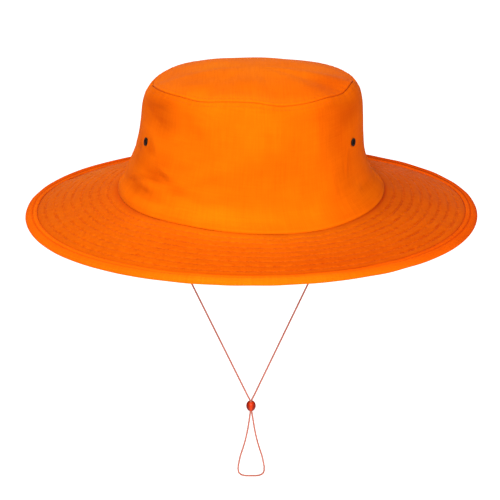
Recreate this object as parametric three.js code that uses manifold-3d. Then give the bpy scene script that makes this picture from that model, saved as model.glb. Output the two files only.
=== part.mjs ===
// Wide-brimmed cloth cricket hat with eyelets and a chin cord, in millimetres, +Z up.
// The origin is the centre of the head opening, level with the seam between crown and brim.
// The front faces -Y. Left and right are as seen from the front, so right is +X.
import * as THREE from 'three';
import { mergeVertices } from 'three/addons/utils/BufferGeometryUtils.js';
import Module from 'manifold-3d';

// Crown
const headHalfWidth = 89; // oval on which crown and brim are sewn together
const headHalfLength = 103.2;
const tipHalfWidth = 65.7; // oval of the seam round the top panel
const tipHalfLength = 77;
const crownHeight = 75; // from the brim seam to the seam of the top panel
const domeRise = 9.5; // middle of the top panel above its seam
const crownSway = 1.9; // greatest sideways shift of the soft crown
const crownCloth = 1.4; // cloth of the wall and the top panel
const foldDepth = 2.4; // deepest soft fold in the wall

// Brim
const brimReach = 62.1; // level distance from the brim seam to the outer edge
const brimDrop = 15.4; // outer edge below the brim seam
const brimCloth = 2.4; // upper and under brim stitched flat on each other
const marginCloth = 1.2; // brim edge where the binding presses it
const bindingWidth = 8.4;
const bindingCloth = 1;

// Sweatband
const sweatbandHeight = 27; // above the brim seam
const sweatbandCloth = 1.4;
const sweatbandEase = 0.3; // further room between the band and the crown above the seam
const sweatbandLip = 0.6; // the band's lower edge below the underside of the brim

// Eyelets
const eyeletRimRadius = 3.5;
const eyeletBoreRadius = 1.7;
const eyeletMetal = 0.4; // thickness of the barrel and of both rims
const eyeletBed = 0.15; // room for the bend of the cloth under a flat rim

// Chin cord and its bead
const cordDiameter = 1.2;
const strandGap = 0.3; // between the two strands in the bead
const strandTurn = 55; // degrees from the side by side place to one behind the other
const cordDrop = 4; // stretch under the cord's ends that comes down from the seam
const cordLean = 0.9; // inwards over that stretch
const beadRadius = 3.15;
const beadLength = 7.4;
const beadMouth = 0.5; // depth of the opening-out at the hole's two ends
const beadFlare = 0.7; // its width as a share of its depth

// Room kept between pieces that are sewn, pressed or threaded together
const gap = 0.3;

// Fineness of the curved surfaces
const columns = 64; // columns of facets round the hat
const holeSides = 14;
const beadSides = 12;
const cordSides = 8;
const stepsPerPoint = 3; // cord steps between two of its points

// Crown wall from the brim seam up. height is a share of crownHeight, flare the share of the way
// from the top oval out to the head oval, and sway a share of crownSway.
const crownSections = [
  { height: 0, flare: 1, sway: 0 },
  { height: 0.05, flare: 0.93, sway: -0.4 },
  { height: 0.12, flare: 0.75, sway: -0.8 },
  { height: 0.22, flare: 0.61, sway: -1 },
  { height: 0.36, flare: 0.46, sway: -0.75 },
  { height: 0.52, flare: 0.37, sway: -0.2 },
  { height: 0.68, flare: 0.32, sway: 0.2 },
  { height: 0.82, flare: 0.28, sway: 0.35 },
  { height: 0.91, flare: 0.21, sway: 0.45 },
  { height: 0.96, flare: 0.12, sway: 0.5 },
  { height: 1, flare: 0, sway: 0.6 },
];

// Rings of the top panel from its seam to its middle, as shares of its oval.
const tipRings = [1, 0.88, 0.7, 0.45, 0.22, 0];

// Heights of the top panel's seam round the hat, as shares of crownHeight.
const tipSeam = [
  { azimuth: 0, height: 1.016 },
  { azimuth: 15, height: 0.976 },
  { azimuth: 30, height: 0.98 },
  { azimuth: 45, height: 0.983 },
  { azimuth: 60, height: 0.979 },
  { azimuth: 75, height: 1.013 },
  { azimuth: 90, height: 0.985 },
  { azimuth: 135, height: 0.953 },
  { azimuth: 180, height: 0.939 },
  { azimuth: 225, height: 0.953 },
  { azimuth: 270, height: 0.945 },
  { azimuth: 285, height: 0.975 },
  { azimuth: 300, height: 0.993 },
  { azimuth: 315, height: 1.005 },
  { azimuth: 330, height: 0.996 },
  { azimuth: 345, height: 1.025 },
];

// Waves of the brim round the hat, as shares of brimDrop. seam is its inner edge and rim its
// outer edge, both counted downwards from the origin's level.
const brimWaves = [
  { azimuth: 0, seam: 0.07, rim: 0.81 },
  { azimuth: 30, seam: 0.1, rim: 0.86 },
  { azimuth: 60, seam: -0.01, rim: 0.94 },
  { azimuth: 90, seam: -0.12, rim: 0.94 },
  { azimuth: 120, seam: -0.06, rim: 0.93 },
  { azimuth: 150, seam: 0.07, rim: 1.02 },
  { azimuth: 180, seam: 0.08, rim: 1.1 },
  { azimuth: 210, seam: -0.01, rim: 1.08 },
  { azimuth: 240, seam: -0.05, rim: 1.02 },
  { azimuth: 270, seam: -0.03, rim: 1.02 },
  { azimuth: 300, seam: -0.04, rim: 0.99 },
  { azimuth: 330, seam: -0.02, rim: 0.88 },
];

// Fall of the brim from its seam (out 0) to its edge (out 1), which droops a little.
const brimFall = [
  { out: 0, fall: 0 },
  { out: 0.3, fall: 0.25 },
  { out: 0.6, fall: 0.54 },
  { out: 0.82, fall: 0.79 },
  { out: 1, fall: 1 },
];

// Soft folds and dents of the wall. azimuth is in degrees from the front towards +X, height a
// share of crownHeight, around (degrees) and up (share of crownHeight) are half spans, slant
// turns the fold (degrees of azimuth for the whole height) and depth is a share of foldDepth,
// below 0 where the cloth stands out.
const folds = [
  { azimuth: -57, height: 0.79, around: 16, up: 0.11, slant: -40, depth: 0.6 },
  { azimuth: -45, height: 0.62, around: 12, up: 0.26, slant: -8, depth: 0.45 },
  { azimuth: -18, height: 0.42, around: 9, up: 0.2, slant: 100, depth: -0.4 },
  { azimuth: 23, height: 0.78, around: 9, up: 0.18, slant: 0, depth: 0.45 },
  { azimuth: 47, height: 0.6, around: 11, up: 0.3, slant: -20, depth: 0.8 },
  { azimuth: -49, height: 0.31, around: 10, up: 0.08, slant: -110, depth: 0.6 },
  { azimuth: -65, height: 0.18, around: 11, up: 0.07, slant: 110, depth: 0.6 },
  { azimuth: 67, height: 0.2, around: 9, up: 0.1, slant: -60, depth: 0.5 },
  { azimuth: 8, height: 0.38, around: 17, up: 0.16, slant: 30, depth: 0.35 },
  { azimuth: 150, height: 0.5, around: 14, up: 0.3, slant: -20, depth: 0.7 },
  { azimuth: 205, height: 0.35, around: 12, up: 0.2, slant: 40, depth: 0.6 },
  { azimuth: 250, height: 0.6, around: 11, up: 0.28, slant: 10, depth: 0.6 },
];

// Eyelets, two on each side in front of and behind the side seam. height is a share of crownHeight.
const eyelets = [
  { name: 'eyelet_left_front', azimuth: -66.2, height: 0.545 },
  { name: 'eyelet_left_back', azimuth: -113.8, height: 0.545 },
  { name: 'eyelet_right_front', azimuth: 63.2, height: 0.555 },
  { name: 'eyelet_right_back', azimuth: 116.8, height: 0.555 },
];

// Points of the chin cord from its left end down through the bead, round the loop below it and
// back up to its right end. The two ends' heights and the strands in the bead are set further on.
const beadCentre = new THREE.Vector3(-0.2, 44.6, -174.6);
const beadRings = [-1, -0.6, 0, 0.6, 1]; // shares of half its length
const leftEnd = { x: -78, y: 43.8 };
const rightEnd = { x: 75.9, y: 48.5 };
const loopPoints = [
  [-1.5, 44.6, -186],
  [-2.6, 44.6, -193],
  [-4.2, 44.6, -200.8],
  [-5.9, 44.6, -207],
  [-7.8, 44.6, -213.2],
  [-8.9, 44.6, -218.6],
  [-9.4, 44.6, -222.6],
  [-8.7, 44.6, -226.3],
  [-5.6, 44.6, -228.2],
  [0, 44.6, -228.5],
  [5.5, 44.6, -228.2],
  [8.6, 44.6, -226.3],
  [9.3, 44.6, -222.6],
  [8.8, 44.6, -218.6],
  [7.7, 44.6, -213.2],
  [5.8, 44.6, -207],
  [4.1, 44.6, -200.8],
  [2.5, 44.6, -193],
  [1.4, 44.6, -186],
];

const degree = Math.PI / 180;

// Shape of the crown beyond its tables
const foldRise = 2.5; // how fast the folds deepen away from the sewn edges
const waveFade = 1.5; // how the seam's waves die out towards the middle of the top panel
const domeFall = 2.2; // how flat the dome stays before it falls to its seam

// Steps that measure which way a surface faces
const probe = 0.01; // share of its climb or of its way out
const probeTurn = 0.5; // degrees
const nearMiddle = 0.05; // the top panel counts as level this near to its middle

// Smooth curve through the rows of a table: cubic pieces whose slope at a row is that of the
// line between its two neighbours. A table that goes round the hat repeats after 360 degrees.
function follow(rows, along, value, place, round = 0) {
  const count = rows.length;
  const row = (i) => {
    if (!round) {
      const kept = rows[Math.min(Math.max(i, 0), count - 1)];
      return [kept[along], kept[value]];
    }
    const turns = Math.floor(i / count);
    const kept = rows[i - turns * count];
    return [kept[along] + turns * round, kept[value]];
  };
  const x = round ? place - Math.floor(place / round) * round : place;
  let i = 0;
  while (i < count - (round ? 1 : 2) && row(i + 1)[0] <= x) {
    i += 1;
  }
  const [x0, y0] = row(i);
  const [x1, y1] = row(i + 1);
  const slope = (k) => {
    const [xa, ya] = row(k - 1);
    const [xb, yb] = row(k + 1);
    return (yb - ya) / (xb - xa);
  };
  const span = x1 - x0;
  const t = (x - x0) / span;
  const rest = 1 - t;
  const start = y0 + slope(i) * span * t;
  const end = y1 - slope(i + 1) * span * rest;
  return rest * rest * (y0 * t * 2 + start) + t * t * (y1 * rest * 2 + end);
}

const tipMean = tipSeam.reduce((sum, row) => sum + row.height, 0) / tipSeam.length * crownHeight;

function seamHeight(azimuth) {
  return -brimDrop * follow(brimWaves, 'azimuth', 'seam', azimuth, 360);
}

function rimHeight(azimuth) {
  return -brimDrop * follow(brimWaves, 'azimuth', 'rim', azimuth, 360);
}

function tipSeamHeight(azimuth) {
  return crownHeight * follow(tipSeam, 'azimuth', 'height', azimuth, 360);
}

function foldAt(azimuth, height) {
  let depth = 0;
  for (const fold of folds) {
    const up = (height - fold.height) / fold.up;
    const turned = azimuth - fold.azimuth - fold.slant * (height - fold.height);
    const around = (turned - 360 * Math.round(turned / 360)) / fold.around;
    depth += foldDepth * fold.depth * Math.exp(-around * around - up * up);
  }
  const fixed = Math.sin(Math.PI * Math.min(Math.max(height, 0), 1)); // sewn edges hold their form
  return depth * Math.min(1, foldRise * fixed);
}

// Outer surface of the crown. climb runs from 0 at the brim seam over 1 at the top panel's seam
// to 2 at the middle of the top panel.
function crownPoint(azimuth, climb) {
  const height = Math.min(climb, 1);
  const share = climb > 1 ? 2 - climb : 1;
  const flare = follow(crownSections, 'height', 'flare', height);
  const inward = climb > 1 ? 0 : foldAt(azimuth, height);
  const halfWidth = tipHalfWidth + (headHalfWidth - tipHalfWidth) * flare - inward;
  const halfLength = tipHalfLength + (headHalfLength - tipHalfLength) * flare - inward;
  const x = share * halfWidth * Math.sin(azimuth * degree);
  const y = -share * halfLength * Math.cos(azimuth * degree);
  const top = tipSeamHeight(azimuth);
  const low = seamHeight(azimuth);
  const dome = tipMean + (top - tipMean) * share ** waveFade + domeRise * (1 - share ** domeFall);
  const z = climb > 1 ? dome : low + (top - low) * height;
  return new THREE.Vector3(x + crownSway * follow(crownSections, 'height', 'sway', height), y, z);
}

// Direction that leads out of the crown's cloth. At the brim seam it is level.
function crownOut(azimuth, climb) {
  if (climb > 2 - nearMiddle) {
    return new THREE.Vector3(0, 0, 1);
  }
  const low = Math.max(climb - probe, 0);
  const across = crownPoint(azimuth + probeTurn, climb).sub(crownPoint(azimuth - probeTurn, climb));
  const upward = crownPoint(azimuth, climb + probe).sub(crownPoint(azimuth, low));
  const out = across.cross(upward);
  out.z *= Math.min(1, climb / crownSections[2].height);
  return out.normalize();
}

function inCrown(azimuth, climb, depth) {
  return crownPoint(azimuth, climb).addScaledVector(crownOut(azimuth, climb), -depth);
}

// Upper surface of the brim. out runs from 0 at the seam to 1 at the outer edge.
function brimPoint(azimuth, out) {
  const fall = out < 0 ? 0 : follow(brimFall, 'out', 'fall', out);
  const low = seamHeight(azimuth);
  return new THREE.Vector3(
    (headHalfWidth + brimReach * out) * Math.sin(azimuth * degree),
    -(headHalfLength + brimReach * out) * Math.cos(azimuth * degree),
    low + (rimHeight(azimuth) - low) * fall,
  );
}

// Point of the brim's edge: inset is its distance inwards from the outer edge, and depth its
// distance below the upper surface.
function brimEdgePoint(azimuth, inset, depth) {
  const out = 1 - inset / brimReach;
  const across = brimPoint(azimuth + probeTurn, out).sub(brimPoint(azimuth - probeTurn, out));
  const outward = brimPoint(azimuth, out + probe).sub(brimPoint(azimuth, out - probe));
  const down = across.cross(outward).normalize();
  if (down.z > 0) {
    down.negate();
  }
  return brimPoint(azimuth, out).addScaledVector(down, depth);
}

// Closed body from stations of points. Each station is a line of points across the piece.
// roundStations joins the last station to the first, and roundSection closes each line on itself.
function skin(stations, roundStations, roundSection) {
  const positions = [];
  const known = new Map();
  const faces = [];
  const indexOf = (point) => {
    const key = `${point.x.toFixed(4)} ${point.y.toFixed(4)} ${point.z.toFixed(4)}`;
    if (!known.has(key)) {
      known.set(key, positions.length / 3);
      positions.push(point.x, point.y, point.z);
    }
    return known.get(key);
  };
  const addFace = (a, b, c) => {
    if (a !== b && b !== c && c !== a) {
      faces.push(a, b, c);
    }
  };
  const addQuad = (a, b, c, d) => {
    addFace(a, b, c);
    addFace(a, c, d);
  };
  const grid = stations.map((station) => station.map(indexOf));
  const width = grid[0].length;
  const lastStation = roundStations ? grid.length : grid.length - 1;
  const lastPoint = roundSection ? width : width - 1;
  for (let i = 0; i < lastStation; i += 1) {
    const next = grid[(i + 1) % grid.length];
    for (let j = 0; j < lastPoint; j += 1) {
      const k = (j + 1) % width;
      addQuad(grid[i][j], next[j], next[k], grid[i][k]);
    }
  }
  if (!roundStations) {
    const first = grid[0];
    const last = grid[grid.length - 1];
    for (let j = 0; j < width / 2 - 1; j += 1) {
      const k = width - 1 - j;
      addQuad(first[j], first[j + 1], first[k - 1], first[k]);
      addQuad(last[k], last[k - 1], last[j + 1], last[j]);
    }
  }
  const geometry = new THREE.BufferGeometry();
  geometry.setAttribute('position', new THREE.Float32BufferAttribute(positions, 3));
  geometry.setIndex(faces);
  return facingOut(geometry);
}

// Turns every face round where the enclosed volume comes out negative.
function facingOut(geometry) {
  const position = geometry.getAttribute('position');
  const index = geometry.getIndex();
  const corner = (i) => new THREE.Vector3().fromBufferAttribute(position, index.getX(i));
  let volume = 0;
  for (let i = 0; i < index.count; i += 3) {
    volume += corner(i).dot(corner(i + 1).cross(corner(i + 2)));
  }
  if (volume < 0) {
    for (let i = 0; i < index.count; i += 3) {
      const kept = index.getX(i + 1);
      index.setX(i + 1, index.getX(i + 2));
      index.setX(i + 2, kept);
    }
  }
  geometry.computeVertexNormals();
  return geometry;
}

const wasm = await Module();
wasm.setup();

function toSolid(geometry) {
  const bare = geometry.clone();
  bare.deleteAttribute('normal');
  bare.deleteAttribute('uv');
  const merged = mergeVertices(bare, 1e-4);
  const mesh = new wasm.Mesh({
    numProp: 3,
    vertProperties: new Float32Array(merged.getAttribute('position').array),
    triVerts: new Uint32Array(merged.getIndex().array),
  });
  return new wasm.Manifold(mesh);
}

function toGeometry(solid) {
  const mesh = solid.getMesh();
  const geometry = new THREE.BufferGeometry();
  geometry.setAttribute('position', new THREE.Float32BufferAttribute(mesh.vertProperties, 3));
  geometry.setIndex(Array.from(mesh.triVerts));
  geometry.computeVertexNormals();
  return geometry;
}

function columnAzimuths(from, to, count) {
  return Array.from({ length: count + 1 }, (_, i) => from + ((to - from) * i) / count);
}

const roundTheHat = columnAzimuths(-90, 270, columns).slice(0, -1);

function clothMaterial(color, roughness = 0.9) {
  return new THREE.MeshStandardMaterial({ color, roughness, metalness: 0 });
}

function piece(name, geometry, material) {
  const mesh = new THREE.Mesh(geometry, material);
  mesh.name = name;
  return mesh;
}

// An eyelet's own Y axis leads out of the cloth, and its origin is in the middle of the cloth.
function eyeletPlace(row) {
  const out = crownOut(row.azimuth, row.height);
  const turn = new THREE.Quaternion().setFromUnitVectors(new THREE.Vector3(0, 1, 0), out);
  const place = inCrown(row.azimuth, row.height, crownCloth / 2);
  return new THREE.Matrix4().compose(place, turn, new THREE.Vector3(1, 1, 1));
}

function eyeletHole(row) {
  const radius = eyeletBoreRadius + eyeletMetal + gap;
  const hole = new THREE.CylinderGeometry(radius, radius, 6 * crownCloth, holeSides);
  return hole.applyMatrix4(eyeletPlace(row));
}

// Half of the crown wall between the two side seams, with holes for the eyelets in it.
function crownPanel(from, to) {
  const trim = gap / 2 / headHalfWidth / degree;
  const azimuths = columnAzimuths(from, to, columns / 2);
  azimuths[0] += trim;
  azimuths[azimuths.length - 1] -= trim;
  const climbs = crownSections.map((row) => row.height);
  climbs[0] = gap / crownHeight;
  climbs[climbs.length - 1] = 1 - gap / 2 / tipHalfWidth;
  const stations = azimuths.map((azimuth) => [
    ...climbs.map((climb) => inCrown(azimuth, climb, 0)),
    ...climbs.map((climb) => inCrown(azimuth, climb, crownCloth)).reverse(),
  ]);
  let solid = toSolid(skin(stations, false, true));
  for (const row of eyelets) {
    const turned = (row.azimuth + 360 - from) % 360;
    if (turned < to - from) {
      solid = solid.subtract(toSolid(eyeletHole(row)));
    }
  }
  return toGeometry(solid);
}

function crownTip() {
  const climbs = tipRings.map((ring) => 2 - ring);
  climbs[0] = 1 + gap / 2 / tipHalfWidth;
  const stations = roundTheHat.map((azimuth) => [
    ...climbs.map((climb) => inCrown(azimuth, climb, 0)).reverse(),
    ...climbs.map((climb) => inCrown(azimuth, climb, crownCloth)),
  ]);
  return skin(stations, true, false);
}

// The brim with a pressed margin along its edge, which the binding wraps.
const recess = (brimCloth - marginCloth) / 2;
const edgeRadius = marginCloth / 2 + gap + bindingCloth; // outside of the rounded binding

function brim() {
  const lip = crownCloth / brimReach;
  const stepInset = bindingWidth + gap;
  const outs = brimFall.map((row) => row.out).filter((out) => out < 1 - 1.2 * stepInset / brimReach);
  const stations = roundTheHat.map((azimuth) => {
    const line = (side) => {
      const body = [-lip, ...outs].map((out) => {
        const point = brimPoint(azimuth, out);
        point.z -= side * brimCloth;
        return point;
      });
      const level = side * brimCloth;
      const pressed = side ? brimCloth - recess : recess;
      body.push(brimEdgePoint(azimuth, stepInset, level));
      body.push(brimEdgePoint(azimuth, stepInset, pressed));
      body.push(brimEdgePoint(azimuth, edgeRadius, pressed));
      return body;
    };
    return [...line(0), ...line(1).reverse()];
  });
  return skin(stations, true, true);
}

// Strip folded round the brim's edge: two flat legs and a round nose.
function brimBinding() {
  const middle = brimCloth / 2;
  const innerRadius = edgeRadius - bindingCloth;
  const nose = (radius, turns) => turns.map((turn) => [
    edgeRadius - radius * Math.cos(turn * degree),
    middle - radius * Math.sin(turn * degree),
  ]);
  const section = [
    [bindingWidth, middle - innerRadius],
    [bindingWidth, middle - edgeRadius],
    ...nose(edgeRadius, [90, 45, 0, -45, -90]),
    [bindingWidth, middle + edgeRadius],
    [bindingWidth, middle + innerRadius],
    ...nose(innerRadius, [-90, 0, 90]),
  ];
  const stations = roundTheHat.map((azimuth) => (
    section.map(([inset, depth]) => brimEdgePoint(azimuth, inset, depth))
  ));
  return skin(stations, true, true);
}

// Band that stands inside the crown, sewn in with the brim seam at its lower edge.
function sweatband() {
  const top = sweatbandHeight / crownHeight;
  const skipped = crownSections[1].height;
  const below = crownSections.map((row) => row.height).filter((height) => height < top - 0.03);
  const climbs = [...below.filter((height) => height !== skipped), top];
  const stations = roundTheHat.map((azimuth) => {
    const line = (extra) => {
      const depth = crownCloth + gap + extra;
      const points = climbs.map((climb) => {
        const ease = climb > 0 ? sweatbandEase : 0;
        return inCrown(azimuth, climb, depth + ease);
      });
      const foot = points[0].clone();
      foot.z -= brimCloth + sweatbandLip;
      return [foot, ...points];
    };
    return [...line(0), ...line(sweatbandCloth).reverse()];
  });
  return skin(stations, true, true);
}

function eyelet() {
  const grip = crownCloth / 2 + gap + eyeletBed;
  const face = grip + eyeletMetal;
  const barrel = eyeletBoreRadius + eyeletMetal;
  const rolled = eyeletRimRadius - eyeletMetal;
  const profile = [
    [eyeletBoreRadius, -face],
    [eyeletRimRadius, -face],
    [eyeletRimRadius, -grip],
    [barrel, -grip],
    [barrel, grip],
    [eyeletRimRadius, grip],
    [rolled, face],
    [eyeletBoreRadius, face],
    [eyeletBoreRadius, -face],
  ];
  return new THREE.LatheGeometry(profile.map(([x, y]) => new THREE.Vector2(x, y)), holeSides);
}

// Curve whose steps follow its chosen points, so that its bends get more of them.
class CordCurve extends THREE.CatmullRomCurve3 {
  getPointAt(share, target) {
    return this.getPoint(share, target);
  }

  getTangentAt(share, target) {
    return this.getTangent(share, target);
  }
}

const strandOffset = (cordDiameter + strandGap) / 2;

// Place of a strand in the bead, on one side of its axis.
function strandPlace(side, height) {
  return new THREE.Vector3(
    beadCentre.x + side * strandOffset * Math.cos(strandTurn * degree),
    beadCentre.y + side * strandOffset * Math.sin(strandTurn * degree),
    beadCentre.z + height,
  );
}

function cordPoints() {
  const azimuthAt = (end) => Math.atan2(end.x / headHalfWidth, -end.y / headHalfLength) / degree;
  const startHeight = (end) => seamHeight(azimuthAt(end)) - brimCloth - sweatbandLip - gap;
  const upperStrand = (end, side) => {
    const high = startHeight(end);
    const inBead = strandPlace(side, beadLength / 2);
    const from = new THREE.Vector3(end.x, end.y, high);
    const bend = new THREE.Vector3(end.x - side * cordLean, end.y, high - cordDrop);
    const along = [0.12, 0.35, 0.62, 0.86, 0.97].map((share) => bend.clone().lerp(inBead, share));
    return [from, bend, ...along, inBead];
  };
  const through = (side) => [0, -0.5].map((share) => strandPlace(side, share * beadLength));
  return [
    ...upperStrand(leftEnd, -1),
    ...through(-1),
    ...loopPoints.map((point) => new THREE.Vector3(...point)),
    ...through(1).reverse(),
    ...upperStrand(rightEnd, 1).reverse(),
  ];
}

function chinCord() {
  const section = new THREE.Shape(Array.from({ length: cordSides }, (_, i) => new THREE.Vector2(
    (cordDiameter / 2) * Math.cos((2 * Math.PI * i) / cordSides),
    (cordDiameter / 2) * Math.sin((2 * Math.PI * i) / cordSides),
  )));
  const points = cordPoints();
  const extrudePath = new CordCurve(points, false, 'centripetal');
  const steps = Math.min(80, stepsPerPoint * (points.length - 1));
  return new THREE.ExtrudeGeometry(section, { steps, bevelEnabled: false, extrudePath });
}

// Round bead whose hole takes both strands and opens towards its ends. Its outside is part of an
// ellipse that meets the rims of the hole.
function cordBead() {
  const hole = strandOffset + cordDiameter / 2 + gap;
  const half = beadLength / 2;
  const rim = hole + beadMouth * beadFlare;
  const narrowing = 1 - (rim / beadRadius) ** 2;
  const outside = beadRings.map((share) => [
    beadRadius * Math.sqrt(1 - narrowing * share ** 2),
    half * share,
  ]);
  const profile = [
    [hole, -half + beadMouth],
    ...outside,
    [hole, half - beadMouth],
    [hole, -half + beadMouth],
  ];
  const bead = new THREE.LatheGeometry(profile.map(([x, y]) => new THREE.Vector2(x, y)), beadSides);
  return bead.rotateX(Math.PI / 2);
}

const hat = new THREE.Group();

const crown = new THREE.Group();
crown.add(piece('crown_front', crownPanel(-90, 90), clothMaterial(0xfa7f08)));
crown.add(piece('crown_back', crownPanel(90, 270), clothMaterial(0xf07008)));
crown.add(piece('crown_tip', crownTip(), clothMaterial(0xf47a10)));
crown.add(piece('sweatband', sweatband(), clothMaterial(0xe86a0c, 0.8)));
for (const row of eyelets) {
  const enamel = new THREE.MeshStandardMaterial({ color: 0x14100e, roughness: 0.35, metalness: 0.6 });
  const ring = piece(row.name, eyelet(), enamel);
  ring.applyMatrix4(eyeletPlace(row));
  crown.add(ring);
}
hat.add(crown);

const brimGroup = new THREE.Group();
brimGroup.add(piece('brim', brim(), clothMaterial(0xf46804)));
brimGroup.add(piece('brim_binding', brimBinding(), clothMaterial(0xf8861a)));
hat.add(brimGroup);

const chin = new THREE.Group();
chin.add(piece('chin_cord', chinCord(), clothMaterial(0xe88468, 0.7)));
const beadPlastic = new THREE.MeshStandardMaterial({ color: 0xc22312, roughness: 0.3, metalness: 0 });
const bead = piece('cord_bead', cordBead(), beadPlastic);
bead.position.copy(beadCentre);
chin.add(bead);
hat.add(chin);

export default hat;
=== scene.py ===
"""Orange cloth cricket hat with a stitched wide brim, side eyelets and a beaded chin cord.

The frame is +Z up with its origin at the centre of the head opening. The front faces -Y, and
left and right are as seen from the front, so right is +X. Azimuths count from the front
towards the right.
"""

import bpy
import numpy as np
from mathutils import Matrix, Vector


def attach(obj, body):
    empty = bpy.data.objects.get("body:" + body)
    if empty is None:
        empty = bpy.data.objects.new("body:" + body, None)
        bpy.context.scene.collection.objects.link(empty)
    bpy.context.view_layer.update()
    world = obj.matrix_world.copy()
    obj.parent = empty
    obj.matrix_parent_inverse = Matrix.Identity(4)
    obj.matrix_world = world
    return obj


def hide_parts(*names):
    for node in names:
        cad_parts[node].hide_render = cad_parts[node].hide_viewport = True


bl_info = {
    "name": "Cricket Hat",
    "version": (1, 0, 0),
    "blender": (4, 5, 0),
    "location": "View3D > Sidebar > Hat",
    "description": "Builds a stitched cloth cricket hat with a chin cord around its fixed frame",
    "category": "Add Mesh",
}

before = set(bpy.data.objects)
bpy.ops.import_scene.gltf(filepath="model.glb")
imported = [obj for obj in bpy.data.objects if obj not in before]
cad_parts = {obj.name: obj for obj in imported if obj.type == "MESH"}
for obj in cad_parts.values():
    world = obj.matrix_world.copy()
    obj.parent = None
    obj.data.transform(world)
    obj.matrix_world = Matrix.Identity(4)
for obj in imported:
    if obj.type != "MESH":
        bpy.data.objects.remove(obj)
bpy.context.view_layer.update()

MM = 0.001
DEGREE = np.pi / 180

# Measures that several pieces go by.
WALL_CLIMB = 95 * MM  # cloth up the wall near the top seam, for the whole of its height
SIDE_STITCH = 5 * MM  # topstitching behind a side seam, from the seam
HEM_STITCH = 5 * MM  # row through the sweatband's hem, down from the upper edge
BAND_EASE = 0.3 * MM  # room between sweatband and crown above the brim seam
BAND_LIP = 0.6 * MM  # the sweatband's lower edge below the underside of the brim
THREADS_PER_METRE = 2600.0
ALL_ROUND = np.linspace(0, 360, 1441)  # azimuths of the lines that stitches follow
TURN_STEP, PLACE_STEP = 0.5, 0.01  # half steps over which a surface's slope is measured

# Stage: the camera at the photo's angle, the floor, and the soft lights, which all aim at one
# place. A light has a name, a place, a width, a power and a tint.
CAMERA_PLACE = (-0.89 * MM, -1442.16 * MM, 412.52 * MM)
CAMERA_TILT = 72.425 * DEGREE
CAMERA_LENS = 161.39
FLOOR_DEPTH, FLOOR_HALF = 1.5, 30.0
LIGHT_TARGET = (0, 0, 0.01)
LIGHTS = (
    ("key", (-0.12, -2.2, 1.05), 0.9, 80, (1, 1, 1)),
    ("top", (-0.8, 0.3, 1.8), 1.2, 28, (1, 1, 1)),
    ("fill", (2.0, -1.1, 0.7), 1.2, 14, (1, 0.66, 0.6)),
)
WORLD_LIGHT, BACKDROP = 0.15, 0.95  # what lights the hat, and what only the camera adds to it

# Crown wall from the brim seam up, as shares of the crown's height, of the way from the top
# oval out to the head oval, and of the crown's sway.
CROWN_SECTIONS = {
    "height": (0, 0.05, 0.12, 0.22, 0.36, 0.52, 0.68, 0.82, 0.91, 0.96, 1),
    "flare": (1, 0.93, 0.75, 0.61, 0.46, 0.37, 0.32, 0.28, 0.21, 0.12, 0),
    "sway": (0, -0.4, -0.8, -1, -0.75, -0.2, 0.2, 0.35, 0.45, 0.5, 0.6),
}

# Height of the top panel's seam round the hat, as shares of the crown's height.
TIP_SEAM = {
    "azimuth": (0, 15, 30, 45, 60, 75, 90, 135, 180, 225, 270, 285, 300, 315, 330, 345),
    "height": (1.032, 0.992, 0.989, 0.998, 0.984, 1.013, 0.985, 0.962,
               0.925, 0.962, 0.945, 0.978, 0.998, 1.01, 1.006, 1.03),
}

# Fall of the brim's inner and outer edge below the origin round the hat, as shares of its drop.
BRIM_WAVES = {
    "azimuth": (0, 30, 60, 90, 120, 150, 180, 210, 240, 270, 300, 330),
    "seam": (0.08, 0.19, 0.09, -0.05, -0.05, 0.07, 0.08, -0.01, -0.05, -0.03, 0.01, -0.05),
    "rim": (0.81, 0.86, 0.94, 0.94, 0.93, 1.02, 1.1, 1.08, 1.02, 1.02, 0.99, 0.88),
}

# Fall of the brim from its seam out to its edge.
BRIM_FALL = {"out": (0, 0.3, 0.6, 0.82, 1), "fall": (0, 0.25, 0.54, 0.79, 1)}

# How far the rear of the brim sinks inside its edge, as shares of the brim's dish.
BRIM_DISH = {"out": (0, 0.3, 0.62, 0.85, 1), "sink": (0, 0.1, 0.6, 1, 0)}

# Broad folds of the crown wall: azimuth, height, half span round, half span up, slant, and depth
# as a share of the fold depth, below 0 where the cloth stands out.
FOLDS = (
    (-57, 0.79, 16, 0.11, -40, 0.6),
    (-45, 0.62, 12, 0.26, -8, 0.45),
    (-18, 0.42, 9, 0.2, 100, -0.4),
    (23, 0.78, 9, 0.18, 0, 0.45),
    (47, 0.6, 11, 0.3, -20, 0.8),
    (-49, 0.31, 10, 0.08, -110, 0.6),
    (-65, 0.18, 11, 0.07, 110, 0.6),
    (67, 0.2, 9, 0.1, -60, 0.5),
    (8, 0.38, 17, 0.16, 30, 0.35),
    (150, 0.5, 14, 0.3, -20, 0.7),
    (205, 0.35, 12, 0.2, 40, 0.6),
    (250, 0.6, 11, 0.28, 10, 0.6),
)

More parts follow.
